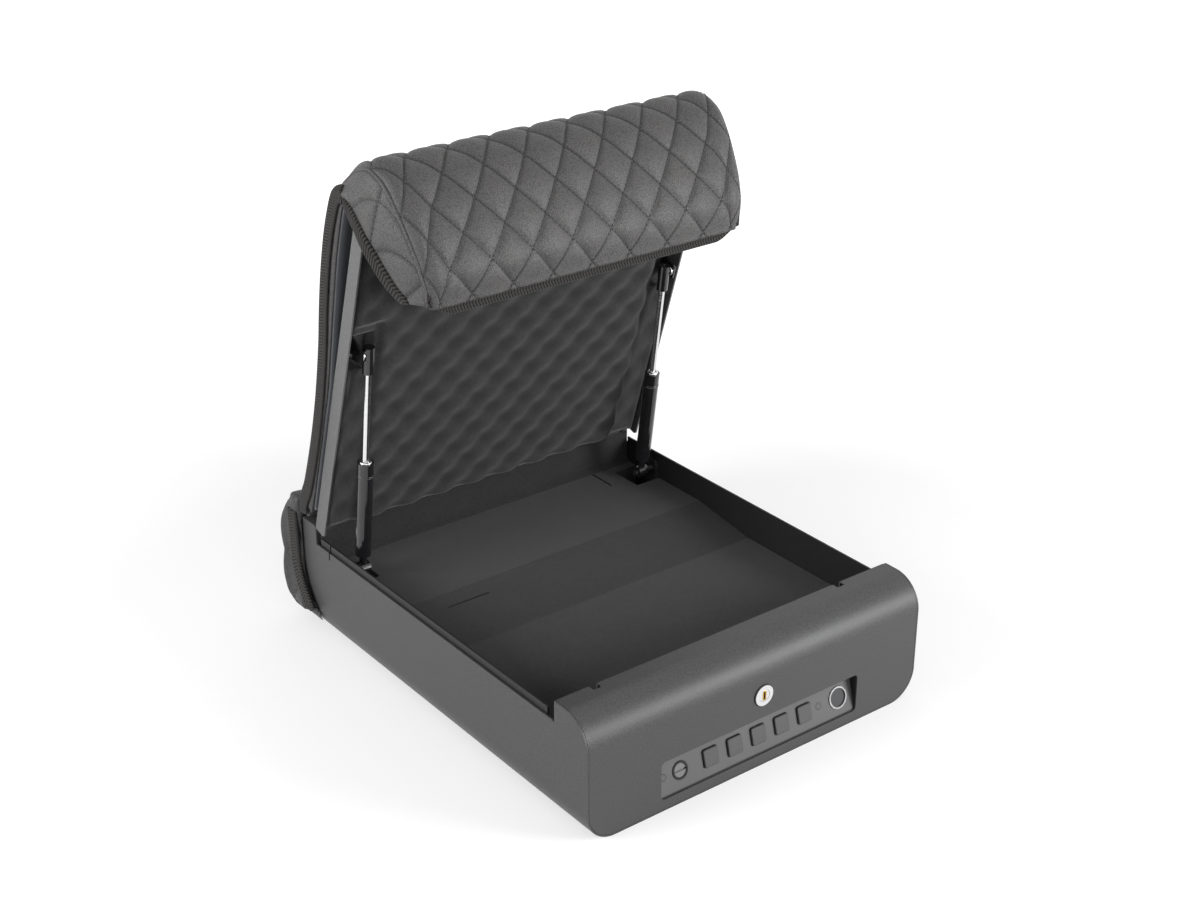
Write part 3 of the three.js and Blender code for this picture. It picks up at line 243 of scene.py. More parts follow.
def pebbleLeather(name, colour):
    # its pebbles wander a little, and a vertex attribute marks the quilting seams, whose grooves are darkened as
    # painted shade
    finish, tree, shader, place = startFinish(name, colour, 0.5)
    wander = added(tree, "TexNoise", {"Scale": 300, "Vector": place}).outputs["Color"]
    shift = {0: wander, 1: (0.0008, 0.0008, 0.0008), 2: place}
    moved = added(tree, "VectorMath", shift, operation="MULTIPLY_ADD").outputs["Vector"]
    pebbles = cells(tree, moved, 620)
    creases = cells(tree, moved, 620, "DISTANCE_TO_EDGE")
    slow = cloud(tree, place, 26, 3)
    skin = ramp(tree, creases, 0.02, 0.24, toned(colour, 0.5), toned(colour, 1.2))
    worn = ramp(tree, slow, 0.3, 0.7, (0.88, 0.88, 0.9), grey(1.0))
    skin = multiplied(tree, skin, worn)
    # painted shade in the quilting seams' grooves
    skin = blendColours(tree, pieceValue(tree, "seamShading"), skin, toned(colour, 0.2))
    setSockets(shader, {"Base Color": skin, "Roughness": span(tree, pebbles, 0.1, 0.6, 0.42, 0.6),
                        "Specular IOR Level": 0.4, "Sheen Weight": 0.08, "Sheen Roughness": 0.4})
    height = sums(tree, creases, sums(tree, cloud(tree, place, 2600, 2), 0.12, "MULTIPLY"))
    bump(tree, shader, height, 0.6, 0.0004)
    return finish


def herringbone(name, colour, warm, ribs=165, rowWidth=0.0065):
    # reads the piece's own UV map: metres along the band in U, across it in V
    finish, tree, shader, place = startFinish(name, colour, 0.8)
    cloth = axes(tree, added(tree, "UVMap").outputs["UV"])
    across = sums(tree, cloth["Y"], 1 / rowWidth, "MULTIPLY")
    zigzag = sums(tree, across, 1.0, "PINGPONG")
    slant = sums(tree, sums(tree, cloth["X"], ribs * 2, "MULTIPLY"), zigzag)
    rib = sums(tree, slant, 0.5, "PINGPONG")
    groove = sums(tree, zigzag, sums(tree, 1.0, zigzag, "SUBTRACT"), "MINIMUM")
    tone = ramp(tree, rib, 0.1, 0.34, toned(colour, 0.4), warm)
    # painted shade along the grooves between the herringbone's rows
    grooveShade = ramp(tree, groove, 0.0, 0.08, grey(0.4), grey(1))
    setSockets(shader, {"Base Color": multiplied(tree, tone, grooveShade), "Sheen Weight": 0.08,
                        "Specular IOR Level": 0.15})
    height = sums(tree, rib, sums(tree, cloud(tree, place, 3000, 2), 0.15, "MULTIPLY"))
    bump(tree, shader, height, 0.8, 0.0005)
    return finish


def wovenLining(name, colour):
    finish, tree, shader, place = startFinish(name, colour, 0.75)
    thread = cloud(tree, stretched(tree, place, (1, 3, 1)), 1200, 2)
    setSockets(shader, {"Base Color": ramp(tree, thread, 0.35, 0.65, toned(colour, 0.7), toned(colour, 1.25)),
                        "Sheen Weight": 0.3})
    bump(tree, shader, thread, 0.5, 0.0002)
    return finish


def mattRubber(name, colour):
    finish, tree, shader, place = startFinish(name, colour, 0.85)
    fine = cloud(tree, place, 1400, 3)
    setSockets(shader, {"Base Color": ramp(tree, fine, 0.3, 0.7, colour, toned(colour, 1.6))})
    bump(tree, shader, fine, 0.3, 0.0001)
    return finish


def circuitBoard(name, colour):
    finish, tree, shader, place = startFinish(name, colour, 0.45)
    tracks = cells(tree, place, 180, "DISTANCE_TO_EDGE")
    setSockets(shader, {"Base Color": ramp(tree, tracks, 0.04, 0.07, toned(colour, 1.9), colour)})
    bump(tree, shader, tracks, 0.1, 0.0001)
    return finish


def repaint(finish, share, colour):
    # another colour where share is 1
    tree = finish.node_tree
    shader = tree.nodes["Principled BSDF"]
    face = shader.inputs["Base Color"].links[0].from_socket
    setSockets(shader, {"Base Color": blendColours(tree, share, face, colour)})


def panelPlasticWithShade(name, colour):
    # the moulded panel, with painted shade: black on the window's side walls, which stand in shadow, and a painted
    # shadow line along its lower edge
    finish = mouldedPlastic(name, colour, 0.42)
    tree = finish.node_tree
    place = axes(tree)
    # painted shade: the window's side walls and a thin line along the panel's lower edge are painted near black
    aside = sums(tree, sums(tree, place["X"], -0.002), 0.0, "ABSOLUTE")
    walls = span(tree, aside, 0.1121, 0.1122, 0.0, 1.0)
    edge = span(tree, place["Z"], 0.0122, 0.0125, 1.0, 0.0)
    repaint(finish, sums(tree, walls, edge, "MAXIMUM"), grey(0.006))
    return finish


def shadedLinerCoat(name, colour, inside):
    # the body's coat, with painted shade: darker on the inner walls below the rim
    finish = powderCoat(name, colour)
    tree = finish.node_tree
    # painted shade: everything below the rim is painted darker
    repaint(finish, span(tree, axes(tree)["Z"], 0.1155, 0.1165, 1.0, 0.0), inside)
    return finish


bodyCoat = powderCoat("body powder coat", (0.06, 0.06, 0.061))
shadedSideCoat = shadedLinerCoat("side liner coat with painted shade", (0.06, 0.06, 0.061), (0.014, 0.014, 0.0145))
# painted light: the lid pan wears a lighter copy of the body's powder coat
litLidCoat = powderCoat("lid powder coat with painted light", (0.115, 0.115, 0.117))
panelGrey = panelPlasticWithShade("panel plastic with painted shade", (0.085, 0.085, 0.086))
buttonGrey = mouldedPlastic("button plastic", (0.056, 0.056, 0.057), 0.42)
bezelBlack = mouldedPlastic("bezel plastic", grey(0.004), 0.75)
lampGrey = mouldedPlastic("lamp window plastic", (0.09, 0.09, 0.091), 0.3)
capGrey = mouldedPlastic("slot cap plastic", (0.16, 0.16, 0.162), 0.34)
caseBlack = mouldedPlastic("case plastic", (0.016, 0.016, 0.017), 0.55)
guideGrey = mouldedPlastic("latch guide plastic", (0.05, 0.05, 0.052), 0.5)
sensorGrey = mouldedPlastic("reader window", (0.05, 0.051, 0.053), 0.22)
strutBlack = glossEnamel("strut enamel", (0.008, 0.008, 0.009))
brightSteel = polishedMetal("bright steel", (0.82, 0.82, 0.83), 0.16)
satinSteel = polishedMetal("satin steel", (0.36, 0.36, 0.365), 0.34)
zincSteel = zincPlate("zinc plated steel", (0.55, 0.56, 0.57), 0.35)
machinedBrass = polishedMetal("brass", (0.62, 0.45, 0.17), 0.3)
floorFelt = napFoam("floor felt", (0.026, 0.026, 0.0265))
eggFelt = napFoam("egg crate foam with painted shade", (0.04, 0.04, 0.0405), 1500, 0.2, 0.42)
quiltLeather = pebbleLeather("quilted leather", (0.085, 0.082, 0.081))
# painted shade: the bolster wears a darker copy of the quilted leather
shadedLeather = pebbleLeather("bolster leather with painted shade", (0.047, 0.0458, 0.0453))
edgeWebbing = herringbone("edge webbing", (0.008, 0.0076, 0.0074), (0.05, 0.047, 0.0455))
coverLining = wovenLining("cover lining", (0.034, 0.038, 0.045))
padRubber = mattRubber("button mat rubber", grey(0.012))
boardGreen = circuitBoard("circuit board", (0.015, 0.07, 0.035))
threadGrey = mattRubber("stitching thread", (0.05, 0.047, 0.046))
keyBrass = polishedMetal("keyway brass", (0.62, 0.4, 0.12), 0.3)

# the finish of each CAD piece, by name or by a pattern of names
cadFinishes = {
    bodyCoat: ["base_shell", "front_*", "rear_panel", "rear_bulkhead", "hinge_*"],
    shadedSideCoat: ["side_liner_*"],
    litLidCoat: ["lid_pan"],
    panelGrey: ["keypad_housing"],
    capGrey: ["coin_slot_cap"],
    lampGrey: ["light_window_*"],
    bezelBlack: ["cap_bezel"],
    caseBlack: ["battery_case", "strut_bracket_base_*", "button_[1-5]"],
    guideGrey: ["latch_guide_*"],
    sensorGrey: ["fingerprint_pad"],
    strutBlack: ["strut_tube_*", "strut_socket_*", "strut_bracket_lid_*"],
    brightSteel: ["strut_rod_*", "lock_barrel", "lock_plug"],
    satinSteel: ["fingerprint_ring"],
    zincSteel: ["striker_*", "lock_nut", "lock_cam", "latch_slide", "latch_motor"],
    machinedBrass: ["latch_pinion"],
    padRubber: ["button_mat"],
    boardGreen: ["keypad_board"],
}


def wear(piece, finish):
    if piece.material_slots:
        piece.material_slots[0].material = finish
    else:
        piece.data.materials.append(finish)


for finish, patterns in cadFinishes.items():
    for pattern in patterns:
        for name in fnmatch.filter(nodes, pattern):
            wear(nodes[name], finish)
print("materials made")

# the lid's own frame: distance along it from the hinge, and inward from the hinge axis, in mm
hinge = {"y": 192.8, "z": 115.5, "angle": 72.5}
lidCos = math.cos(math.radians(hinge["angle"]))
lidSin = math.sin(math.radians(hinge["angle"]))


def lidPoint(x, along, inward):
    y = hinge["y"] - lidCos * along - lidSin * inward
    z = hinge["z"] + lidSin * along - lidCos * inward
    return Vector((x, y, z)) * mm


def curvePoint(points, share):
    # a point of the smooth curve through points, at a share of its length
    lengths = [0.0]
    for a, b in zip(points, points[1:]):
        lengths.append(lengths[-1] + math.dist(a, b))
    goal = share * lengths[-1]
    i = 0
    while i < len(points) - 2 and lengths[i + 1] < goal:
        i += 1
    t = (goal - lengths[i]) / (lengths[i + 1] - lengths[i])
    p1, p2 = points[i], points[i + 1]
    p0 = points[i - 1] if i else [2 * a - b for a, b in zip(p1, p2)]
    p3 = points[i + 2] if i + 2 < len(points) else [2 * b - a for a, b in zip(p1, p2)]
    return [0.5 * (2 * b + (c - a) * t + (2 * a - 5 * b + 4 * c - d) * t * t + (3 * b - a - 3 * c + d) * t ** 3)
            for a, b, c, d in zip(p0, p1, p2, p3)]


def curveSlope(points, share):
    a = curvePoint(points, max(0.0, share - 0.004))
    b = curvePoint(points, min(1.0, share + 0.004))
    size = math.dist(a, b)
    return [(q - p) / size for p, q in zip(a, b)]


def curveLength(points):
    return sum(math.dist(a, b) for a, b in zip(points, points[1:]))


def newPiece(bm, name, finish):
    mesh = bpy.data.meshes.new(name)
    bm.to_mesh(mesh)
    bm.free()
    mesh.materials.append(finish)
    return placed(name, mesh)


def finishPiece(bm, name, finish, body=None, smooth=True):
    piece = newPiece(bm, name, finish)
    for face in piece.data.polygons:
        face.use_smooth = smooth
    if body:
        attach(piece, body)
    return piece


def flatSlab(length, width, columns, rows):
    # a closed flat slab: x along it, y across it and z from 0 to 1 into it, in mm, with a UV map in metres
    bm = bmesh.new()
    bmesh.ops.create_grid(bm, x_segments=columns, y_segments=rows, size=0.5)
    bmesh.ops.transform(bm, matrix=Matrix.Diagonal((length, width, 1, 1)), verts=bm.verts)
    bmesh.ops.translate(bm, vec=(length / 2, width / 2, 0), verts=bm.verts)
    return thickened(bm)


def thickened(bm):
    outer = bm.faces[:]
    copy = bmesh.ops.duplicate(bm, geom=bm.verts[:] + bm.edges[:] + bm.faces[:])
    bmesh.ops.translate(bm, vec=(0, 0, 1), verts=[g for g in copy["geom"] if isinstance(g, bmesh.types.BMVert)])
    bmesh.ops.reverse_faces(bm, faces=outer)
    rims = [e for e in bm.edges if e.is_boundary]
    bmesh.ops.bridge_loops(bm, edges=rims)
    uv = bm.loops.layers.uv.new("cloth")
    for face in bm.faces:
        for loop in face.loops:
            loop[uv].uv = (loop.vert.co.x * mm, loop.vert.co.y * mm)
    return bm


def moveVerts(bm, place):
    for v in bm.verts:
        v.co = place(*v.co)
    bmesh.ops.recalc_face_normals(bm, faces=bm.faces[:])
    return bm


def pathSlab(path, width, steps, place):
    # a slab laid along a path: place gets the path's point and slope, then the slab's own three numbers
    length = curveLength(path)
    return moveVerts(flatSlab(length, width, *steps), lambda u, v, depth: place(
        *curvePoint(path, u / length), *curveSlope(path, u / length), u, v, depth))


# quilting: seams run both ways at a slant and cross in diamonds
quilt = {"pitch": 41.8, "slope": 0.8, "phase": 20.0, "puff": 3.6, "fullness": 0.5, "steps": 14, "seamWidth": 0.03,
         "stitch": 4.4, "stitchLength": 3.0, "thread": 0.5, "weld": 0.02}


def quiltCell(across, along):
    # how far a point lies between seams of each run, from 0 on a seam to 0.5 midway
    p = ((across - quilt["phase"]) + quilt["slope"] * along) / quilt["pitch"]
    q = ((across - quilt["phase"]) - quilt["slope"] * along) / quilt["pitch"]
    return abs(p - round(p)), abs(q - round(q))


def quiltHeight(across, along):
    p, q = quiltCell(across, along)
    return quilt["puff"] * (math.sin(math.pi * p) * math.sin(math.pi * q)) ** quilt["fullness"]


def seamShade(across, along):
    p, q = quiltCell(across, along)
    return max(0.0, 1 - min(p, q) / quilt["seamWidth"])


def quiltedFlat(half, start, end, top):
    # a flat slab whose edges run along the seams: x across, y along from start to end, z into it
    pitch, slope = quilt["pitch"], quilt["slope"]
    step = pitch / quilt["steps"]
    count = math.ceil((2 * half + slope * (end - start) + 2 * pitch) / step)
    bm = bmesh.new()
    bmesh.ops.create_grid(bm, x_segments=count, y_segments=count, size=0.5)
    corner = round(-count * step / 2 / pitch) * pitch
    shift = round(slope * ((start + end) / 2 - top) / pitch) * pitch
    for v in bm.verts:
        p = corner + round((v.co.x + 0.5) * count) * step + shift
        q = corner + round((v.co.y + 0.5) * count) * step - shift
        v.co = ((p + q) / 2 + quilt["phase"], (p - q) / (2 * slope) + top, 0)
    for place, way in (((half, 0, 0), (1, 0, 0)), ((-half, 0, 0), (-1, 0, 0)),
                       ((0, end, 0), (0, 1, 0)), ((0, start, 0), (0, -1, 0))):
        bmesh.ops.bisect_plane(bm, geom=bm.verts[:] + bm.edges[:] + bm.faces[:], dist=0.01,
                               plane_co=place, plane_no=way, clear_outer=True)
    bmesh.ops.remove_doubles(bm, verts=bm.verts[:], dist=quilt["weld"])
    if sum(f.normal.z for f in bm.faces) < 0:
        bmesh.ops.reverse_faces(bm, faces=bm.faces[:])
    return thickened(bm)


# cover: one quilted skin from the lid's lower edge, over its top and down the hood to the hem,
# given in the lid's frame as distance from the hinge and distance inward
cover = {
    "skin": [(21, -26), (33, -22.5), (48, -20), (89, -18), (123, -18.5), (157, -20), (200, -24), (240, -30),
             (274, -34), (310, -36), (338, -35), (361.5, -32), (380, -26), (392, -17), (402, -4), (404, 8),
             (401, 25), (390, 43), (375, 61), (358, 78), (339, 91), (318, 98)],
    "inside": [(21, -6), (156, -6), (178, -7), (241, -13), (302, -18), (348, -18), (366, -16)],
    "lidHalf": 189.6, "hoodHalf": 181, "hemHalf": 167, "hoodThickness": 12.5, "hemThickness": 5,
    "topLine": (404, 2), "foldLine": (366, -31), "foldStart": (366, -35.2), "foldEnd": (376.5, -7),
    "narrowing": (-16, 22), "thinning": (-14, 16), "hemRun": 34, "hemFlat": 30, "hemPuff": 0.25, "hemSink": (2.6, 1.2),
    "edgeRound": 7, "edgeDrop": 5, "edgePuff": 10, "straight": 150, "searchSteps": 800,
}
coverLength = curveLength(cover["skin"])


def nearestShare(points, goal):
    shares = [i / cover["searchSteps"] for i in range(cover["searchSteps"] + 1)]
    return min(shares, key=lambda t: math.dist(curvePoint(points, t), goal))


topAlong = nearestShare(cover["skin"], cover["topLine"]) * coverLength
foldAlong = nearestShare(cover["skin"], cover["foldLine"]) * coverLength


def smooth(value, low, high):
    t = min(1.0, max(0.0, (value - low) / (high - low)))
    return t * t * (3 - 2 * t)


def coverHalf(along):
    first, last = cover["narrowing"]
    narrow = smooth(along, foldAlong + first, foldAlong + last) * (cover["lidHalf"] - cover["hoodHalf"])
    t = max(0.0, (along - foldAlong) / (coverLength - foldAlong))
    return cover["lidHalf"] - narrow - (cover["hoodHalf"] - cover["hemHalf"]) * t * t


def between(points, value):
    # the second number of a broken line at a value of its first
    for (a, b), (c, d) in zip(points, points[1:]):
        if value <= c:
            return b + (d - b) * max(0.0, (value - a) / (c - a))
    return points[-1][1]


def coverThickness(along):
    p = curvePoint(cover["skin"], along / coverLength)
    lidPart = between(cover["inside"], p[0]) - p[1]
    first, last = cover["thinning"]
    onHood = smooth(along, foldAlong + first, foldAlong + last)
    hem = smooth(along, coverLength - cover["hemRun"], coverLength)
    hoodPart = cover["hoodThickness"] * (1 - hem) + cover["hemThickness"] * hem
    return lidPart * (1 - onHood) + hoodPart * onHood


def skinPoint(across, along, height):
    # a point over the cover's skin, by its place across, its distance along and its height
    share = min(1.0, max(0.0, along / coverLength))
    a, b = curvePoint(cover["skin"], share)
    da, db = curveSlope(cover["skin"], share)
    return lidPoint(across, a + db * height, b - da * height)


def squeezed(across, along):
    # seams keep their pitch in the middle and draw in only near the edges
    half = coverHalf(along)
    keep = cover["straight"]
    if abs(across) <= keep:
        return across
    share = (abs(across) - keep) / (cover["lidHalf"] - keep)
    return math.copysign(keep + share * (half - keep), across)


def coverPlace(x, s, depth):
    across = squeezed(x, s)
    half = coverHalf(s)
    edge = half - abs(across)
    hem = smooth(s, coverLength - cover["hemFlat"], coverLength)
    sink, back = cover["hemSink"]
    roundOff = 0.0
    if edge < cover["edgeRound"]:
        t = 1 - edge / cover["edgeRound"]
        roundOff = (1 - math.sqrt(max(0.0, 1 - t * t))) * cover["edgeDrop"]
    if depth < 0.5:
        puff = quiltHeight(x, s - topAlong) * smooth(edge, 0, cover["edgePuff"])
        puff *= 1 - (1 - cover["hemPuff"]) * hem
        return skinPoint(across, s, puff - roundOff - sink * hem)
    return skinPoint(across, s, -coverThickness(s) - back * hem)


def foldWith(piece):
    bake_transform(piece)


def quiltedCover():
    bm = quiltedFlat(cover["lidHalf"], 0, coverLength, topAlong)
    seamShading = bm.verts.layers.float.new("seamShading")
    # painted shade along the seams, on the outer skin only
    for v in bm.verts:
        v[seamShading] = seamShade(v.co.x, v.co.y - topAlong) if v.co.z < 0.5 else 0.0
    moveVerts(bm, coverPlace)
    piece = finishPiece(bm, "quilted_cover", quiltLeather)
    foldWith(piece)
    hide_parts("lid_cushion", "hood_panel")


def seamLines(half, start, end, zero):
    # the quilting's seams as (across, along) pairs a stitch apart, each with its slant
    step = quilt["stitch"] / math.hypot(1, quilt["slope"])
    reach = math.ceil((half + quilt["slope"] * max(abs(start - zero), abs(end - zero))) / quilt["pitch"]) + 1
    for run in (-1, 1):
        for k in range(-reach, reach + 1):
            for i in range(math.ceil((end - start) / step)):
                along = start + (i + 0.5) * step
                across = quilt["phase"] + k * quilt["pitch"] + run * quilt["slope"] * (along - zero)
                if abs(across) < half:
                    yield across, along, run


def stitched(name, places):
    # one mesh of small thread loops, each lying from one point to another
    bm = bmesh.new()
    bmesh.ops.create_icosphere(bm, subdivisions=1, radius=1.0)
    loop = bpy.data.meshes.new(name + " loop")
    bm.to_mesh(loop)
    bm.clear()
    corners = [v.co.copy() for v in loop.vertices]
    for a, b in places:
        thin = quilt["thread"] * mm
        turn = (b - a).to_track_quat("Z", "Y").to_matrix().to_4x4()
        sized = Matrix.Diagonal((thin, thin, (b - a).length / 2, 1))
        put = Matrix.Translation((a + b) / 2) @ turn @ sized
        loop.vertices.foreach_set("co", [c for corner in corners for c in put @ corner])
        bm.from_mesh(loop)
    bpy.data.meshes.remove(loop)
    return finishPiece(bm, name, threadGrey)


def coverStitches():
    places = []
    half = quilt["stitchLength"] / 2 / math.hypot(1, quilt["slope"])
    for across, along, run in seamLines(cover["lidHalf"] - 2, 2, coverLength - 4, topAlong):
        ends = [coverPlace(across + run * quilt["slope"] * d, along + d, 0) for d in (-half, half)]
        out = (skinPoint(across, along, 1) - skinPoint(across, along, 0)) * 0.4
        places.append([p + out for p in ends])
    return places


quiltedCover()
print("quilted cover made")


# end gussets: webs from the hood's sides round the lid's corners to their own bound rear edges,
# whose places are distance from the hinge, inward, and how far the edge draws in
gusset = {
    "rear": [(363, -12, 0), (355, -3, 0), (348, 10, 0), (340, 23, 0), (331, 35, 3), (321, 47, 7), (313, 57, 12),
             (307, 66, 18)],
    "widest": 191.5, "first": 0.02, "last": 0.985, "bulge": 9, "thickness": 2.4, "steps": (28, 64),
    "bindingWidth": 9.5, "bindingThickness": 3.6, "bindingOver": 0.25, "bindingRaise": 0.4, "bindingSteps": (96, 8),
    "seams": [((1, 0.06), (0, 0.625)), ((0, 0.38), (1, 0.5)), ((1, 0.52), (0, 0.85)), ((0, 0.87), (1, 0.97))],
    "seamLength": 62, "seamWidth": 1.6, "groove": 3, "puff": 2.0, "puffFront": 0.1, "puffRear": (0.1, 0.3),
    "inset": 0.4, "frontDepth": (4.5, 2), "middleDepth": 16, "flatten": 0.4, "stitchHeight": 0.35,
    "piping": 1.5, "pipingAt": (0.015, 0.9), "pipingSteps": (120, 10), "slopeStep": 0.01,
}


def gussetCentre(side, t, w):
    # t runs down the hood, w from its side seam to the rear edge
    along = foldAlong + (coverLength - foldAlong) * (gusset["first"] + (gusset["last"] - gusset["first"]) * t)
    depth, deeper = gusset["frontDepth"]
    front = skinPoint(side * (coverHalf(along) - gusset["inset"]), along, -depth - deeper * t)
    a, b, drawn = curvePoint(gusset["rear"], t)
    rear = lidPoint(side * (gusset["widest"] - drawn), a, b)
    bulge = gusset["bulge"] * (1 - gusset["flatten"] * t)
    middle = skinPoint(side * (coverHalf(along) + bulge), along, -gusset["middleDepth"])
    return front * (1 - w) ** 2 + middle * 2 * w * (1 - w) + rear * w * w


def gussetPoint(side, t, w, height):
    step = gusset["slopeStep"]
    t0, t1 = max(0.0, t - step), min(1.0, t + step)
    w0, w1 = max(0.0, w - step), min(1.1, w + step)
    down = gussetCentre(side, t1, w) - gussetCentre(side, t0, w)
    back = gussetCentre(side, t, w1) - gussetCentre(side, t, w0)
    normal = down.cross(back) * side
    if normal.length < 1e-9:
        return gussetCentre(side, t, w)
    return gussetCentre(side, t, w) + normal.normalized() * height * mm


def gussetQuilt(t, w):
    # the web's own seams run from the rear edge to the side seam and back in a zigzag
    away = min(abs((t - t0) - (t1 - t0) * (w - w0) / (w1 - w0)) for (w0, t0), (w1, t1) in gusset["seams"])
    away *= gusset["seamLength"]
    height = gusset["puff"] * (1 - math.exp(-away / gusset["groove"]))
    return height * smooth(w, 0, gusset["puffFront"]) * smooth(1 - w, *gusset["puffRear"]), away


def hoodGussets():
    for tag, side in sides:
        bm = flatSlab(1, 1, *gusset["steps"])
        seamShading = bm.verts.layers.float.new("seamShading")
        for v in bm.verts:
            v[seamShading] = max(0.0, 1 - gussetQuilt(v.co.y, v.co.x)[1] / gusset["seamWidth"])
        moveVerts(bm, lambda w, t, depth: gussetPoint(
            side, t, w, gussetQuilt(t, w)[0] if depth < 0.5 else -gusset["thickness"]))
        piece = finishPiece(bm, "hood_gusset_cover_" + tag, quiltLeather)
        foldWith(piece)
        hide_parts("hood_gusset_" + tag)


def gussetStitches():
    places = []
    for side in (-1, 1):
        for (w0, t0), (w1, t1) in gusset["seams"]:
            run = (gussetCentre(side, t1, w1) - gussetCentre(side, t0, w0)).length / mm
            count = round(run / quilt["stitch"])
            reach = quilt["stitchLength"] / 2 / run
            for i in range(1, count):
                shares = (i / count - reach, i / count + reach)
                places.append([gussetPoint(side, t0 + (t1 - t0) * f, w0 + (w1 - w0) * f, gusset["stitchHeight"])
                               for f in shares])
    return places


def tube(steps, around, centre, radius):
    # a round cord along centre(t), closed at its ends
    bm = bmesh.new()
    bmesh.ops.create_grid(bm, x_segments=steps, y_segments=around, size=0.5)
    for v in bm.verts:
        t, turn = v.co.x + 0.5, (v.co.y + 0.5) * 2 * math.pi
        ahead = (centre(min(1.0, t + 0.01)) - centre(max(0.0, t - 0.01))).normalized()
        side = ahead.cross(Vector((0.3, 0.2, 1))).normalized()
        v.co = centre(t) + (side * math.cos(turn) + ahead.cross(side) * math.sin(turn)) * radius * mm
    bmesh.ops.remove_doubles(bm, verts=bm.verts[:], dist=0.00001)
    bmesh.ops.holes_fill(bm, edges=[e for e in bm.edges if e.is_boundary])
    bmesh.ops.recalc_face_normals(bm, faces=bm.faces[:])
    return bm


def hoodPiping():
    # the rolled seam between the hood's panel and each end gusset
    for tag, side in sides:
        bm = tube(*gusset["pipingSteps"], lambda t: gussetPoint(side, t, *gusset["pipingAt"]), gusset["piping"])
        piece = finishPiece(bm, "hood_piping_" + tag, quiltLeather)
        foldWith(piece)


bandEdge = {"width": 0.16, "fall": 0.42}  # shares of a band's width and thickness


def roundedBand(v, depth):
    # across a band, from 0 to 1: its rounded edge falls off at both sides
    edge = min(1.0, min(v, 1 - v) / bandEdge["width"])
    fall = (1 - math.sqrt(max(0.0, 1 - (1 - edge) ** 2))) * bandEdge["fall"]
    return (0.5 - fall) if depth < 0.5 else (-0.5 + fall)


def gussetBindings():
    width = gusset["bindingWidth"]
    length = curveLength([p[:2] for p in gusset["rear"]])
    for tag, side in sides:
        def place(u, v, depth):
            t = u / length
            across = (gussetCentre(side, t, 1) - gussetCentre(side, t, 0)).length / mm
            w = 1 + width / max(across, 1.5 * width) * (gusset["bindingOver"] - v / width)
            height = roundedBand(v / width, depth) * gusset["bindingThickness"] + gusset["bindingRaise"]
            return gussetPoint(side, t, w, height)

        bm = moveVerts(flatSlab(length, width, *gusset["bindingSteps"]), place)
        foldWith(finishPiece(bm, "gusset_webbing_" + tag, edgeWebbing))


# webbing folded round the hem, with its corners rounded up
hem = {"width": 14, "thickness": 6, "drop": 9, "past": 1.5, "lift": 10, "liftRun": 26, "steps": (220, 8)}


def hemWebbing():
    half = cover["hemHalf"] + hem["past"]

    def place(u, v, depth):
        across = u - half
        s = coverLength + hem["drop"] - v - hem["lift"] * smooth(abs(across), half - hem["liftRun"], half)
        over = max(0.0, s - coverLength)
        middle = -sum(cover["hemSink"]) - cover["hemThickness"] / 2
        height = middle + roundedBand(v / hem["width"], depth) * hem["thickness"]
        a, b = curvePoint(cover["skin"], min(1.0, s / coverLength))
        da, db = curveSlope(cover["skin"], min(1.0, s / coverLength))
        return lidPoint(across, a + db * height + da * over, b - da * height + db * over)

    bm = moveVerts(flatSlab(2 * half, hem["width"], *hem["steps"]), place)
    piece = finishPiece(bm, "hem_webbing", edgeWebbing, "hood")
    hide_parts("hood_hem_binding")


# webbing along the lid's two side edges, folded over the cushion's rim
lidWebbing = {
    "path": [(5, -23), (11, -25.5), (20, -26.5), (33, -24), (48, -21.5), (89, -19.5), (123, -19.5), (157, -21),
             (200, -25), (240, -31), (274, -35), (310, -37), (338, -36), (358, -33), (367, -27), (371, -19)],
    "reach": 190.6, "depth": 13, "lap": 5, "thickness": 1.9, "bend": 1.6, "bendRadius": 2.032, "steps": (150, 14),
}


def lidWebbings():
    lap, bend, radius = (lidWebbing[size] for size in ("lap", "bend", "bendRadius"))
    width = lidWebbing["depth"] + lap
    for tag, side in sides:
        def place(a, b, da, db, u, v, depth):
            angle = min(1.0, max(0.0, (v - lap + bend) / (2 * bend))) * math.pi / 2
            x = lidWebbing["reach"] - radius - (lap - bend - min(v, lap - bend)) + radius * math.sin(angle)
            fall = radius * (1 - math.cos(angle)) + max(0.0, v - lap - bend)
            proud = (roundedBand(v / width, depth) + 0.5) * lidWebbing["thickness"]
            x += proud * math.sin(angle)
            fall -= proud * math.cos(angle)
            return lidPoint(side * x, a - db * fall, b + da * fall)

        bm = pathSlab(lidWebbing["path"], width, lidWebbing["steps"], place)
        piece = finishPiece(bm, "lid_webbing_" + tag, edgeWebbing, "lid")
        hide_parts("lid_binding_" + tag)


# lining between the cushion and the lid, its edge showing beside the webbing
lining = {
    "top": [(21, -5.7), (156, -5.7), (178, -6.7), (241, -12.7), (302, -17.7), (348, -17.7), (361, -16)],
    "half": 188, "thickness": 2.7, "ripple": (0.35, 22, 22, 3.1), "steps": (90, 60),
}

# the cover's cloth between the lid's lower end and the bolster, slack while the lid is open
hingeCloth = {
    "path": [(202, 142.5), (203.2, 137), (204.5, 130), (207, 123.5), (211, 121.5), (213.8, 126), (215.5, 132),
             (219.5, 135.5)],
    "half": 186, "thickness": 1.2, "ripple": (1.1, 16, 24, 7.7), "steps": (60, 90),
    "start": (0, 0.219, 0.133), "end": (0, 0.203, 0.139),
}


def rippled(u, v, height, longRun, crossRun, place):
    return height * noise.noise(Vector((u / longRun, v / crossRun, place)))


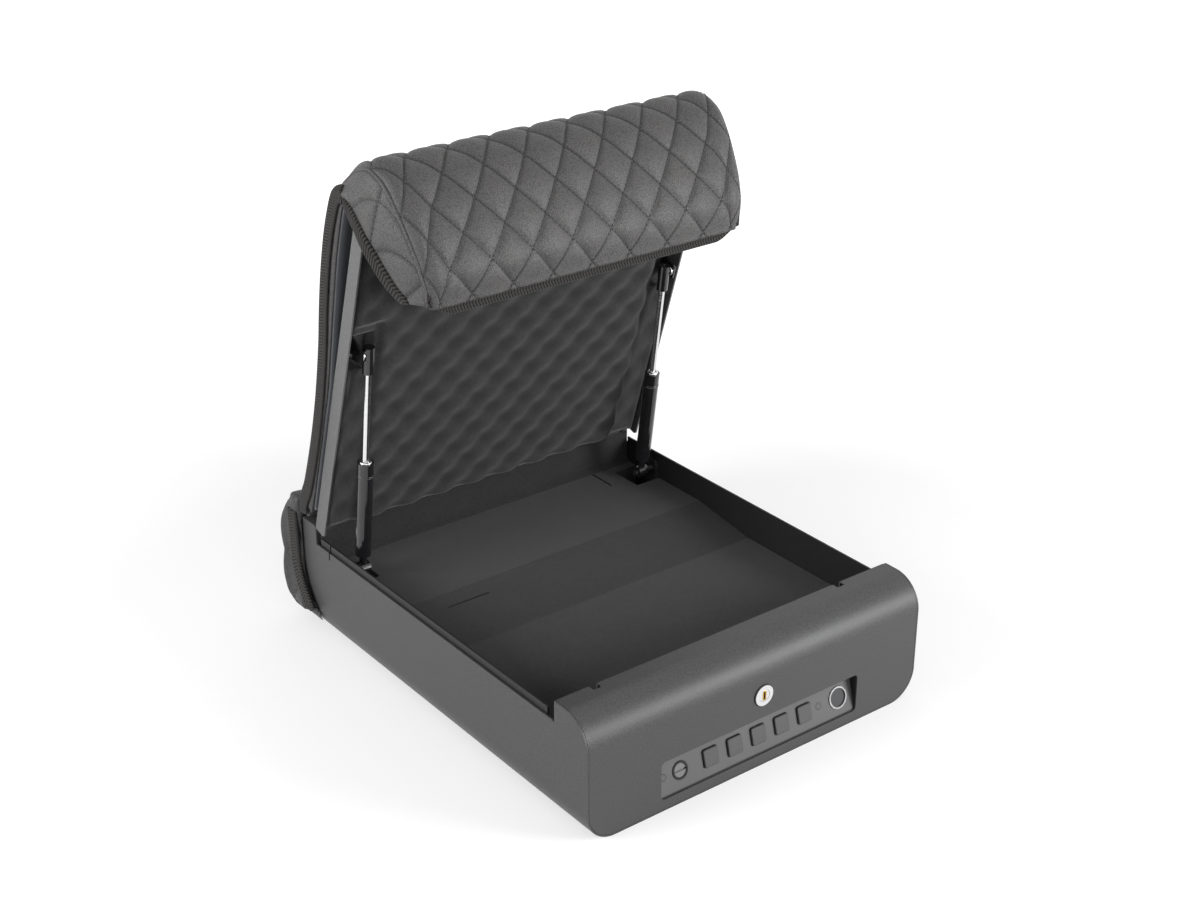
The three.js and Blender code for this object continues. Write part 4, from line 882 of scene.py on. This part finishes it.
def hingeSheet():
    length = curveLength(hingeCloth["path"])

    def place(y, z, dy, dz, u, v, depth):
        ripple = rippled(u, v, *hingeCloth["ripple"]) * math.sin(math.pi * u / length)
        off = (depth - 0.5) * hingeCloth["thickness"] + ripple
        return Vector((v - hingeCloth["half"], y + dz * off, z - dy * off)) * mm

    bm = pathSlab(hingeCloth["path"], 2 * hingeCloth["half"], hingeCloth["steps"], place)
    piece = finishPiece(bm, "hinge_cloth", coverLining)
    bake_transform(piece)


def linerSheet():
    length = curveLength(lining["top"])

    def place(a, b, da, db, u, v, depth):
        ripple = rippled(u, v, *lining["ripple"])
        return lidPoint(v - lining["half"], a, b + depth * lining["thickness"] + ripple)

    bm = pathSlab(lining["top"], 2 * lining["half"], lining["steps"], place)
    piece = finishPiece(bm, "cover_lining_sheet", coverLining, "lid")
    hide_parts("cover_lining")


hoodGussets()
hoodPiping()
gussetBindings()
foldWith(stitched("cover_stitches", coverStitches() + gussetStitches()))
hemWebbing()
lidWebbings()
linerSheet()
hingeSheet()
print("gussets, webbing, stitches and lining made")

# egg-crate foam in the lid: soft peaks and hollows in a staggered grid, low where each closed strut lies
eggCrate = {
    "half": 182.6, "start": 6, "end": 369.5, "back": 0.75, "base": 12.4, "rise": 4.2, "lowBase": 8.2, "lowRise": 1.8,
    "pitch": 38, "phase": (2, 29), "strutX": 167, "strutReach": 15, "strutEnd": 249,
    "strutSlope": (6, 3), "strutFade": 8, "bracket": (160, 196.5, 234.5), "bracketFoam": 0.6,
    "edge": 0.72, "edgeRun": (-1, 5), "shadePower": 1.3, "steps": (170, 170),
}


def eggPeak(x, along):
    turn = 2 * math.pi / eggCrate["pitch"]
    wave = math.cos(turn * (x - eggCrate["phase"][0])) * math.cos(turn * (along - eggCrate["phase"][1]))
    return 0.5 + 0.5 * wave


def eggHeight(x, along):
    before, after = eggCrate["strutSlope"]
    reach, end = eggCrate["strutReach"], eggCrate["strutEnd"]
    low = 1 - smooth(abs(abs(x) - eggCrate["strutX"]), reach - before, reach + after)
    low *= 1 - smooth(along, end - eggCrate["strutFade"], end)
    base = eggCrate["base"] * (1 - low) + eggCrate["lowBase"] * low
    return base + (eggCrate["rise"] * (1 - low) + eggCrate["lowRise"] * low) * eggPeak(x, along)


def lidFoam():
    half, start, back = eggCrate["half"], eggCrate["start"], eggCrate["back"]
    run = eggCrate["end"] - start
    inner, low, high = eggCrate["bracket"]
    bm = flatSlab(2 * half, run, *eggCrate["steps"])
    hollowShade = bm.verts.layers.float.new("hollowShade")

    def place(u, v, depth):
        x, along = u - half, start + v
        if depth > 0.5:
            return lidPoint(x, along, back)
        edge = min(half - abs(x), v, run - v)
        tall = eggHeight(x, along) * (eggCrate["edge"] + (1 - eggCrate["edge"]) * smooth(edge, *eggCrate["edgeRun"]))
        if abs(x) > inner and low < along < high:
            tall = eggCrate["bracketFoam"]
        return lidPoint(x, along, back + tall)

    # painted shade: how deep each point lies in a hollow, for darkening the foam's colour
    for v in bm.verts:
        v[hollowShade] = (1 - eggPeak(v.co.x - half, start + v.co.y)) ** eggCrate["shadePower"]
    moveVerts(bm, place)
    piece = finishPiece(bm, "egg_crate_foam", eggFelt, "lid")
    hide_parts("lid_foam")


# pieces that start from a CAD solid: its merged copy, rounded and dressed
merged = {"weld": 0.02, "flat": math.radians(2), "sharp": math.radians(30)}


def mergedCopy(name):
    bm = bmesh.new()
    bm.from_mesh(nodes[name].data)
    bmesh.ops.remove_doubles(bm, verts=bm.verts[:], dist=merged["weld"] * mm)
    bmesh.ops.dissolve_limit(bm, angle_limit=merged["flat"], verts=bm.verts[:], edges=bm.edges[:])
    return bm


floorFoam = {"round": 1.6, "segments": 3}


def floorTray():
    bm = mergedCopy("floor_foam")
    sharp = [e for e in bm.edges if len(e.link_faces) == 2 and e.calc_face_angle(0) > merged["sharp"]]
    bmesh.ops.bevel(bm, geom=sharp, offset=floorFoam["round"] * mm, offset_type="OFFSET",
                    segments=floorFoam["segments"], profile=0.5, affect="EDGES", clamp_overlap=True, material=-1)
    piece = finishPiece(bm, "floor_foam_tray", floorFelt, "base", smooth=False)
    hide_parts("floor_foam")


# rear bolster: padded back of the cover, remeshed from its solid, then quilted
bolster = {
    "voxel": 2.4, "rounds": 6, "draw": 0.6, "puff": 2.6, "phaseZ": 72, "front": (216, 220), "side": (188.5, 0.5),
    "sideTurn": (0.45, 0.8), "sideFrom": 240, "topTurn": (0.5, 0.9), "topFrom": 246, "backNormal": 0.15,
    "crown": 5.5, "crownPower": 0.5, "crownTurn": (-0.2, 0.5), "low": 10, "high": 128,
}


def remeshed(bm, voxel):
    rough = newPiece(bm, "rough", shadedLeather)
    mesh = rough.data
    change = rough.modifiers.new("voxels", "REMESH")
    change.mode = "VOXEL"
    change.voxel_size = voxel * mm
    seen = rough.evaluated_get(bpy.context.evaluated_depsgraph_get())
    result = bmesh.new()
    result.from_mesh(seen.to_mesh())
    seen.to_mesh_clear()
    bpy.data.objects.remove(rough)
    bpy.data.meshes.remove(mesh)
    return result


def rearBolster():
    bm = remeshed(mergedCopy("rear_bolster"), bolster["voxel"])
    for _ in range(bolster["rounds"]):
        bmesh.ops.smooth_vert(bm, verts=bm.verts[:], factor=0.5, use_axis_x=True, use_axis_y=True, use_axis_z=True)
    bm.normal_update()
    seamShading = bm.verts.layers.float.new("seamShading")
    moves = []
    onSide, sideNormal = bolster["side"]
    topNormal = bolster["topTurn"][0]
    for v in bm.verts:
        p, n = v.co / mm, v.normal
        sideways = smooth(abs(n.x), *bolster["sideTurn"])
        seen = n.y > bolster["backNormal"] or n.z > topNormal or (abs(p.x) > onSide and abs(n.x) > sideNormal)
        outside = 1.0 if seen else 0.0
        outside *= smooth(p.y, *bolster["front"]) if n.z < topNormal else 1.0
        across = p.x + math.copysign(max(0.0, bolster["sideFrom"] - p.y) * sideways, p.x)
        along = p.z - bolster["phaseZ"] + max(0.0, bolster["topFrom"] - p.y) * smooth(n.z, *bolster["topTurn"])
        level = min(1.0, max(0.0, (p.z - bolster["low"]) / (bolster["high"] - bolster["low"])))
        crown = bolster["crown"] * math.sin(math.pi * level) ** bolster["crownPower"]
        crown *= smooth(n.y, *bolster["crownTurn"])
        moves.append((quiltHeight(across, along) / quilt["puff"] * bolster["puff"] + crown) * outside)
        v[seamShading] = seamShade(across, along) * outside
    for v, height in zip(bm.verts, moves):
        v.co += v.normal * (height - bolster["draw"]) * mm
    piece = finishPiece(bm, "quilted_bolster", shadedLeather, "base")
    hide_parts("rear_bolster")


# webbing down the front edges of the bolster's wings
rearWebbing = {
    "path": [(219, 124), (218, 98), (217, 71), (212, 52), (203, 37), (196, 29)],
    "reach": 191.2, "width": 16.5, "thickness": 3.4, "taper": (8, 0.4), "corner": 32.2, "steps": (60, 10),
}


def rearWebbings():
    length = curveLength(rearWebbing["path"])
    width, corner = rearWebbing["width"], rearWebbing["corner"]
    taper, narrower = rearWebbing["taper"]
    for tag, side in sides:
        def place(y, z, dy, dz, u, v, depth):
            proud = (roundedBand(v / width, depth) + 0.5) * rearWebbing["thickness"]
            v *= 1 - narrower * smooth(u, length - taper, length)
            lowered = corner - min(z + v * abs(dy), corner)
            tuck = corner - math.sqrt(max(0.0, corner ** 2 - lowered ** 2))
            return Vector((side * (rearWebbing["reach"] - tuck + proud), y - dz * v, z + dy * v)) * mm

        bm = pathSlab(rearWebbing["path"], width, rearWebbing["steps"], place)
        piece = finishPiece(bm, "bolster_webbing_" + tag, edgeWebbing, "base")
        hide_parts("rear_binding_" + tag)


lidFoam()
floorTray()
rearBolster()
rearWebbings()
print("foam and bolster made")


# small turned and moulded fittings: outlines skinned together, and sections spun round a line
def outline(bm, points):
    corners = [bm.verts.new(p) for p in points]
    return [bm.edges.new(pair) for pair in zip(corners, corners[1:] + corners[:1])]


def skinned(bm, rings, hoop=False):
    # joins rings of as many points each: end to end as a hoop, or with a cap at each end
    loops = [outline(bm, ring) for ring in rings]
    for a, b in zip(loops, loops[1:] + loops[:1] if hoop else loops[1:]):
        bmesh.ops.bridge_loops(bm, edges=a + b)
    if not hoop:
        for cap in (loops[0], loops[-1]):
            bmesh.ops.edgeloop_fill(bm, edges=cap)
    bmesh.ops.recalc_face_normals(bm, faces=bm.faces[:])


def turned(bm, section, centre, run, steps=40):
    # a closed ring spun round a line from its section: radius and height along the line, in mm
    side = run.orthogonal().normalized()
    edges = outline(bm, [(centre + run * height + side * radius) * mm for radius, height in section])
    corners = list({v for e in edges for v in e.verts})
    bmesh.ops.spin(bm, geom=corners + edges, cent=centre * mm, axis=run, angle=2 * math.pi, steps=steps, use_merge=True)
    bmesh.ops.recalc_face_normals(bm, faces=bm.faces[:])


def roundedCorners(width, height, corner, steps=5):
    points = []
    for k, (sx, sy) in enumerate(((1, 1), (-1, 1), (-1, -1), (1, -1))):
        for i in range(steps + 1):
            turn = math.pi / 2 * (k + i / steps)
            points.append((sx * (width / 2 - corner) + corner * math.cos(turn),
                           sy * (height / 2 - corner) + corner * math.sin(turn)))
    return points


# keypad: a black skirt and a grey face on each button, with a small raised dot
keypad = {
    "y": -228.1, "z": 11.2, "tilt": math.atan2(10.1, 37.9), "row": 17.59, "first": -51.8, "pitch": 27.0, "count": 5,
    "width": 16.2, "height": 16.6, "corner": 2.1, "skirt": (-0.45, -1.8), "face": (-1.7, -2.2), "inset": 0.6,
    "skirtInset": (0.05, 0.3), "skirtRound": 0.3, "faceRound": (0.25, 0.2), "dot": (3.9, -4.6, 0.9, 0.35),
}


def facePoint(x, up, inward):
    turnCos, turnSin = math.cos(keypad["tilt"]), math.sin(keypad["tilt"])
    return Vector((x, keypad["y"] + up * turnSin + inward * turnCos,
                   keypad["z"] + up * turnCos - inward * turnSin)) * mm


def buttonDress(number):
    x = keypad["first"] + keypad["pitch"] * (number - 1)
    body = "button_" + str(number)

    def ring(inset, inward):
        width, height, corner = (keypad[k] for k in ("width", "height", "corner"))
        corners = roundedCorners(width - 2 * inset, height - 2 * inset, corner - inset / 2)
        return [facePoint(x + a, keypad["row"] + b, inward) for a, b in corners]

    back, front = keypad["skirt"]
    wide, narrow = keypad["skirtInset"]
    bm = bmesh.new()
    skinned(bm, [ring(wide, back), ring(wide, front + keypad["skirtRound"]), ring(narrow, front)])
    finishPiece(bm, "button_skirt_" + str(number), caseBlack, body, smooth=False)
    back, front = keypad["face"]
    inset = keypad["inset"]
    drawn, rounded = keypad["faceRound"]
    bm = bmesh.new()
    skinned(bm, [ring(inset, back), ring(inset, front + rounded), ring(inset + drawn, front)])
    across, up, size, tall = keypad["dot"]
    for v in bmesh.ops.create_icosphere(bm, subdivisions=2, radius=1)["verts"]:
        v.co = facePoint(x + across + v.co.x * size, keypad["row"] + up + v.co.y * size, front + 0.1 + v.co.z * tall)
    bmesh.ops.recalc_face_normals(bm, faces=bm.faces[:])
    finishPiece(bm, "button_face_" + str(number), buttonGrey, body, smooth=False)


# lock: a black ring round the flange as painted shade for the shadowed gap round it, and a brass rim round the keyway
lock = {"x": 1.0, "z": 72.2, "shadowRing": (9.6, 10.5), "shadowRingY": (-230.0, -230.5), "rimY": (-231.0, -231.55),
        "rim": (4.2, 9.4, 1.4), "keyway": (1.8, 7.6, 0.4)}


def lockDress():
    # painted shade: a black rubber ring stands in for the shadowed gap round the lock's flange
    near, far = lock["shadowRingY"]
    inner, outer = lock["shadowRing"]
    bm = bmesh.new()
    turned(bm, [(outer, near), (outer, far), (inner, far), (inner, near)],
           Vector((lock["x"], 0, lock["z"])), Vector((0, 1, 0)), 64)
    finishPiece(bm, "lock_shadow_ring", padRubber, "base", smooth=False)
    near, far = lock["rimY"]
    bm = bmesh.new()
    skinned(bm, [[Vector((lock["x"] + a, y, lock["z"] + b)) * mm for a, b in roundedCorners(*lock[size])]
                 for size, y in (("rim", near), ("rim", far), ("keyway", far), ("keyway", near))], hoop=True)
    finishPiece(bm, "lock_keyway_rim", keyBrass, "lock_plug", smooth=False)


# struts: the bright collar where the rod enters its tube, the tube's crimped band, and the ball stud's collar
# between each lid bracket's web and the strut's socket
strut = {
    "foot": (167, 144.2, 88), "run": (0, -0.14081, 0.99004), "tubeTop": 117.5, "length": 230.2076,
    "collar": [(3.3, 0), (5.6, 0), (5.9, 0.5), (5.6, 1.3), (4.2, 1.9), (3.3, 1.9)],
    "band": [(7.3, -15.2), (7.75, -15.0), (7.8, -14.4), (7.45, -14.0), (7.45, -13.4), (7.8, -13.0), (7.75, -12.4),
             (7.3, -12.2)],
    "stud": [(1.0, 0), (4.4, 0), (4.6, 0.4), (4.6, 1.6), (3.4, 2.1), (1.0, 2.1)], "studFrom": 5.8,
}


def strutRing(name, section, place, way, steps, finish, body):
    bm = bmesh.new()
    turned(bm, strut[section], place, way, steps)
    finishPiece(bm, name, finish, body)


def strutDress():
    run = Vector(strut["run"]).normalized()
    x, y, z = strut["foot"]
    for tag, side in sides:
        top = Vector((side * x, y, z)) + run * strut["tubeTop"]
        tubeBody = "strut_tube_" + tag
        strutRing("strut_collar_" + tag, "collar", top, run, 40, brightSteel, tubeBody)
        strutRing("strut_band_" + tag, "band", top, run, 40, strutBlack, tubeBody)
    for tag, side in sides:
        stud = Vector((side * (x + strut["studFrom"]), y, z)) + run * strut["length"]
        strutRing("stud_collar_" + tag, "stud", stud, Vector((side, 0, 0)), 24, brightSteel, "lid")


# pan-head screws through the feet of the lid brackets
screw = {"x": 179.3, "alongs": (204.5, 226.5), "face": 1.4, "steps": 24,
         "section": [(0.3, 0), (2.7, 0), (2.7, 0.5), (2.16, 1.1), (0.3, 1.5)]}


def bracketScrews():
    for tag, side in sides:
        bm = bmesh.new()
        for along in screw["alongs"]:
            base, above = (lidPoint(side * screw["x"], along, screw["face"] + rise) / mm for rise in (0, 1))
            turned(bm, screw["section"], base, (above - base).normalized(), screw["steps"])
        finishPiece(bm, "bracket_screws_" + tag, brightSteel, "lid")


for number in range(1, keypad["count"] + 1):
    buttonDress(number)
lockDress()
strutDress()
bracketScrews()
print("keypad, lock and struts dressed")

# floor and light: each lamp's place, size and power
stage = {
    "floor": 8.0, "floorColour": (0.6, 0.6, 0.6, 1), "shade": 0.5, "near": 0.5, "far": 1.6, "world": 0.4,
    "aim": (0, 0, 0.2),
    "lamps": {"key light": ((1.2, -1.85, 0.7), 1.0, 46), "fill light": ((-0.7, -2.3, 1.0), 1.6, 8),
              "left light": ((-2.3, 0.5, 1.0), 1.4, 46), "top light": ((0.5, 0.9, 2.6), 2.0, 3)},
}


def seenRays(tree):
    # 1 on what the camera, a gloss or a clear piece sees
    rays = added(tree, "LightPath").outputs
    either = sums(tree, rays["Is Camera Ray"], rays["Is Glossy Ray"], "MAXIMUM")
    return sums(tree, either, rays["Is Transmission Ray"], "MAXIMUM")


def paleFloor():
    bm = bmesh.new()
    bmesh.ops.create_grid(bm, x_segments=2, y_segments=2, size=stage["floor"])
    finish = bpy.data.materials.new("pale floor")
    finish.use_nodes = True
    tree = finish.node_tree
    tree.nodes.clear()
    diffuse = added(tree, "BsdfDiffuse", {"Color": stage["floorColour"]})
    away = added(tree, "VectorMath", {0: objectPlace(tree)}, operation="LENGTH").outputs["Value"]
    white = span(tree, away, stage["near"], stage["far"], stage["shade"], 1.0)
    glow = added(tree, "Emission", {"Strength": sums(tree, seenRays(tree), white, "MULTIPLY")})
    both = added(tree, "AddShader", {0: diffuse.outputs[0], 1: glow.outputs[0]})
    added(tree, "OutputMaterial", {"Surface": both.outputs[0]})
    newPiece(bm, "pale floor", finish)


def areaLight(name, place, size, power):
    data = bpy.data.lights.new(name, "AREA")
    data.shape = "DISK"
    data.size = size
    data.energy = power
    lamp = placed(name, data)
    lamp.location = place
    lamp.rotation_euler = (Vector(stage["aim"]) - Vector(place)).to_track_quat("-Z", "Y").to_euler()


def paleWorld():
    world = bpy.data.worlds.new("pale studio")
    world.use_nodes = True
    tree = world.node_tree
    strength = span(tree, seenRays(tree), 0, 1, stage["world"], 1.0)
    setSockets(tree.nodes["Background"], {"Color": (1, 1, 1, 1), "Strength": strength})
    bpy.context.scene.world = world


paleFloor()
for name, (place, size, power) in stage["lamps"].items():
    areaLight(name, place, size, power)
paleWorld()
print("stage set")

bpy.context.view_layer.update()
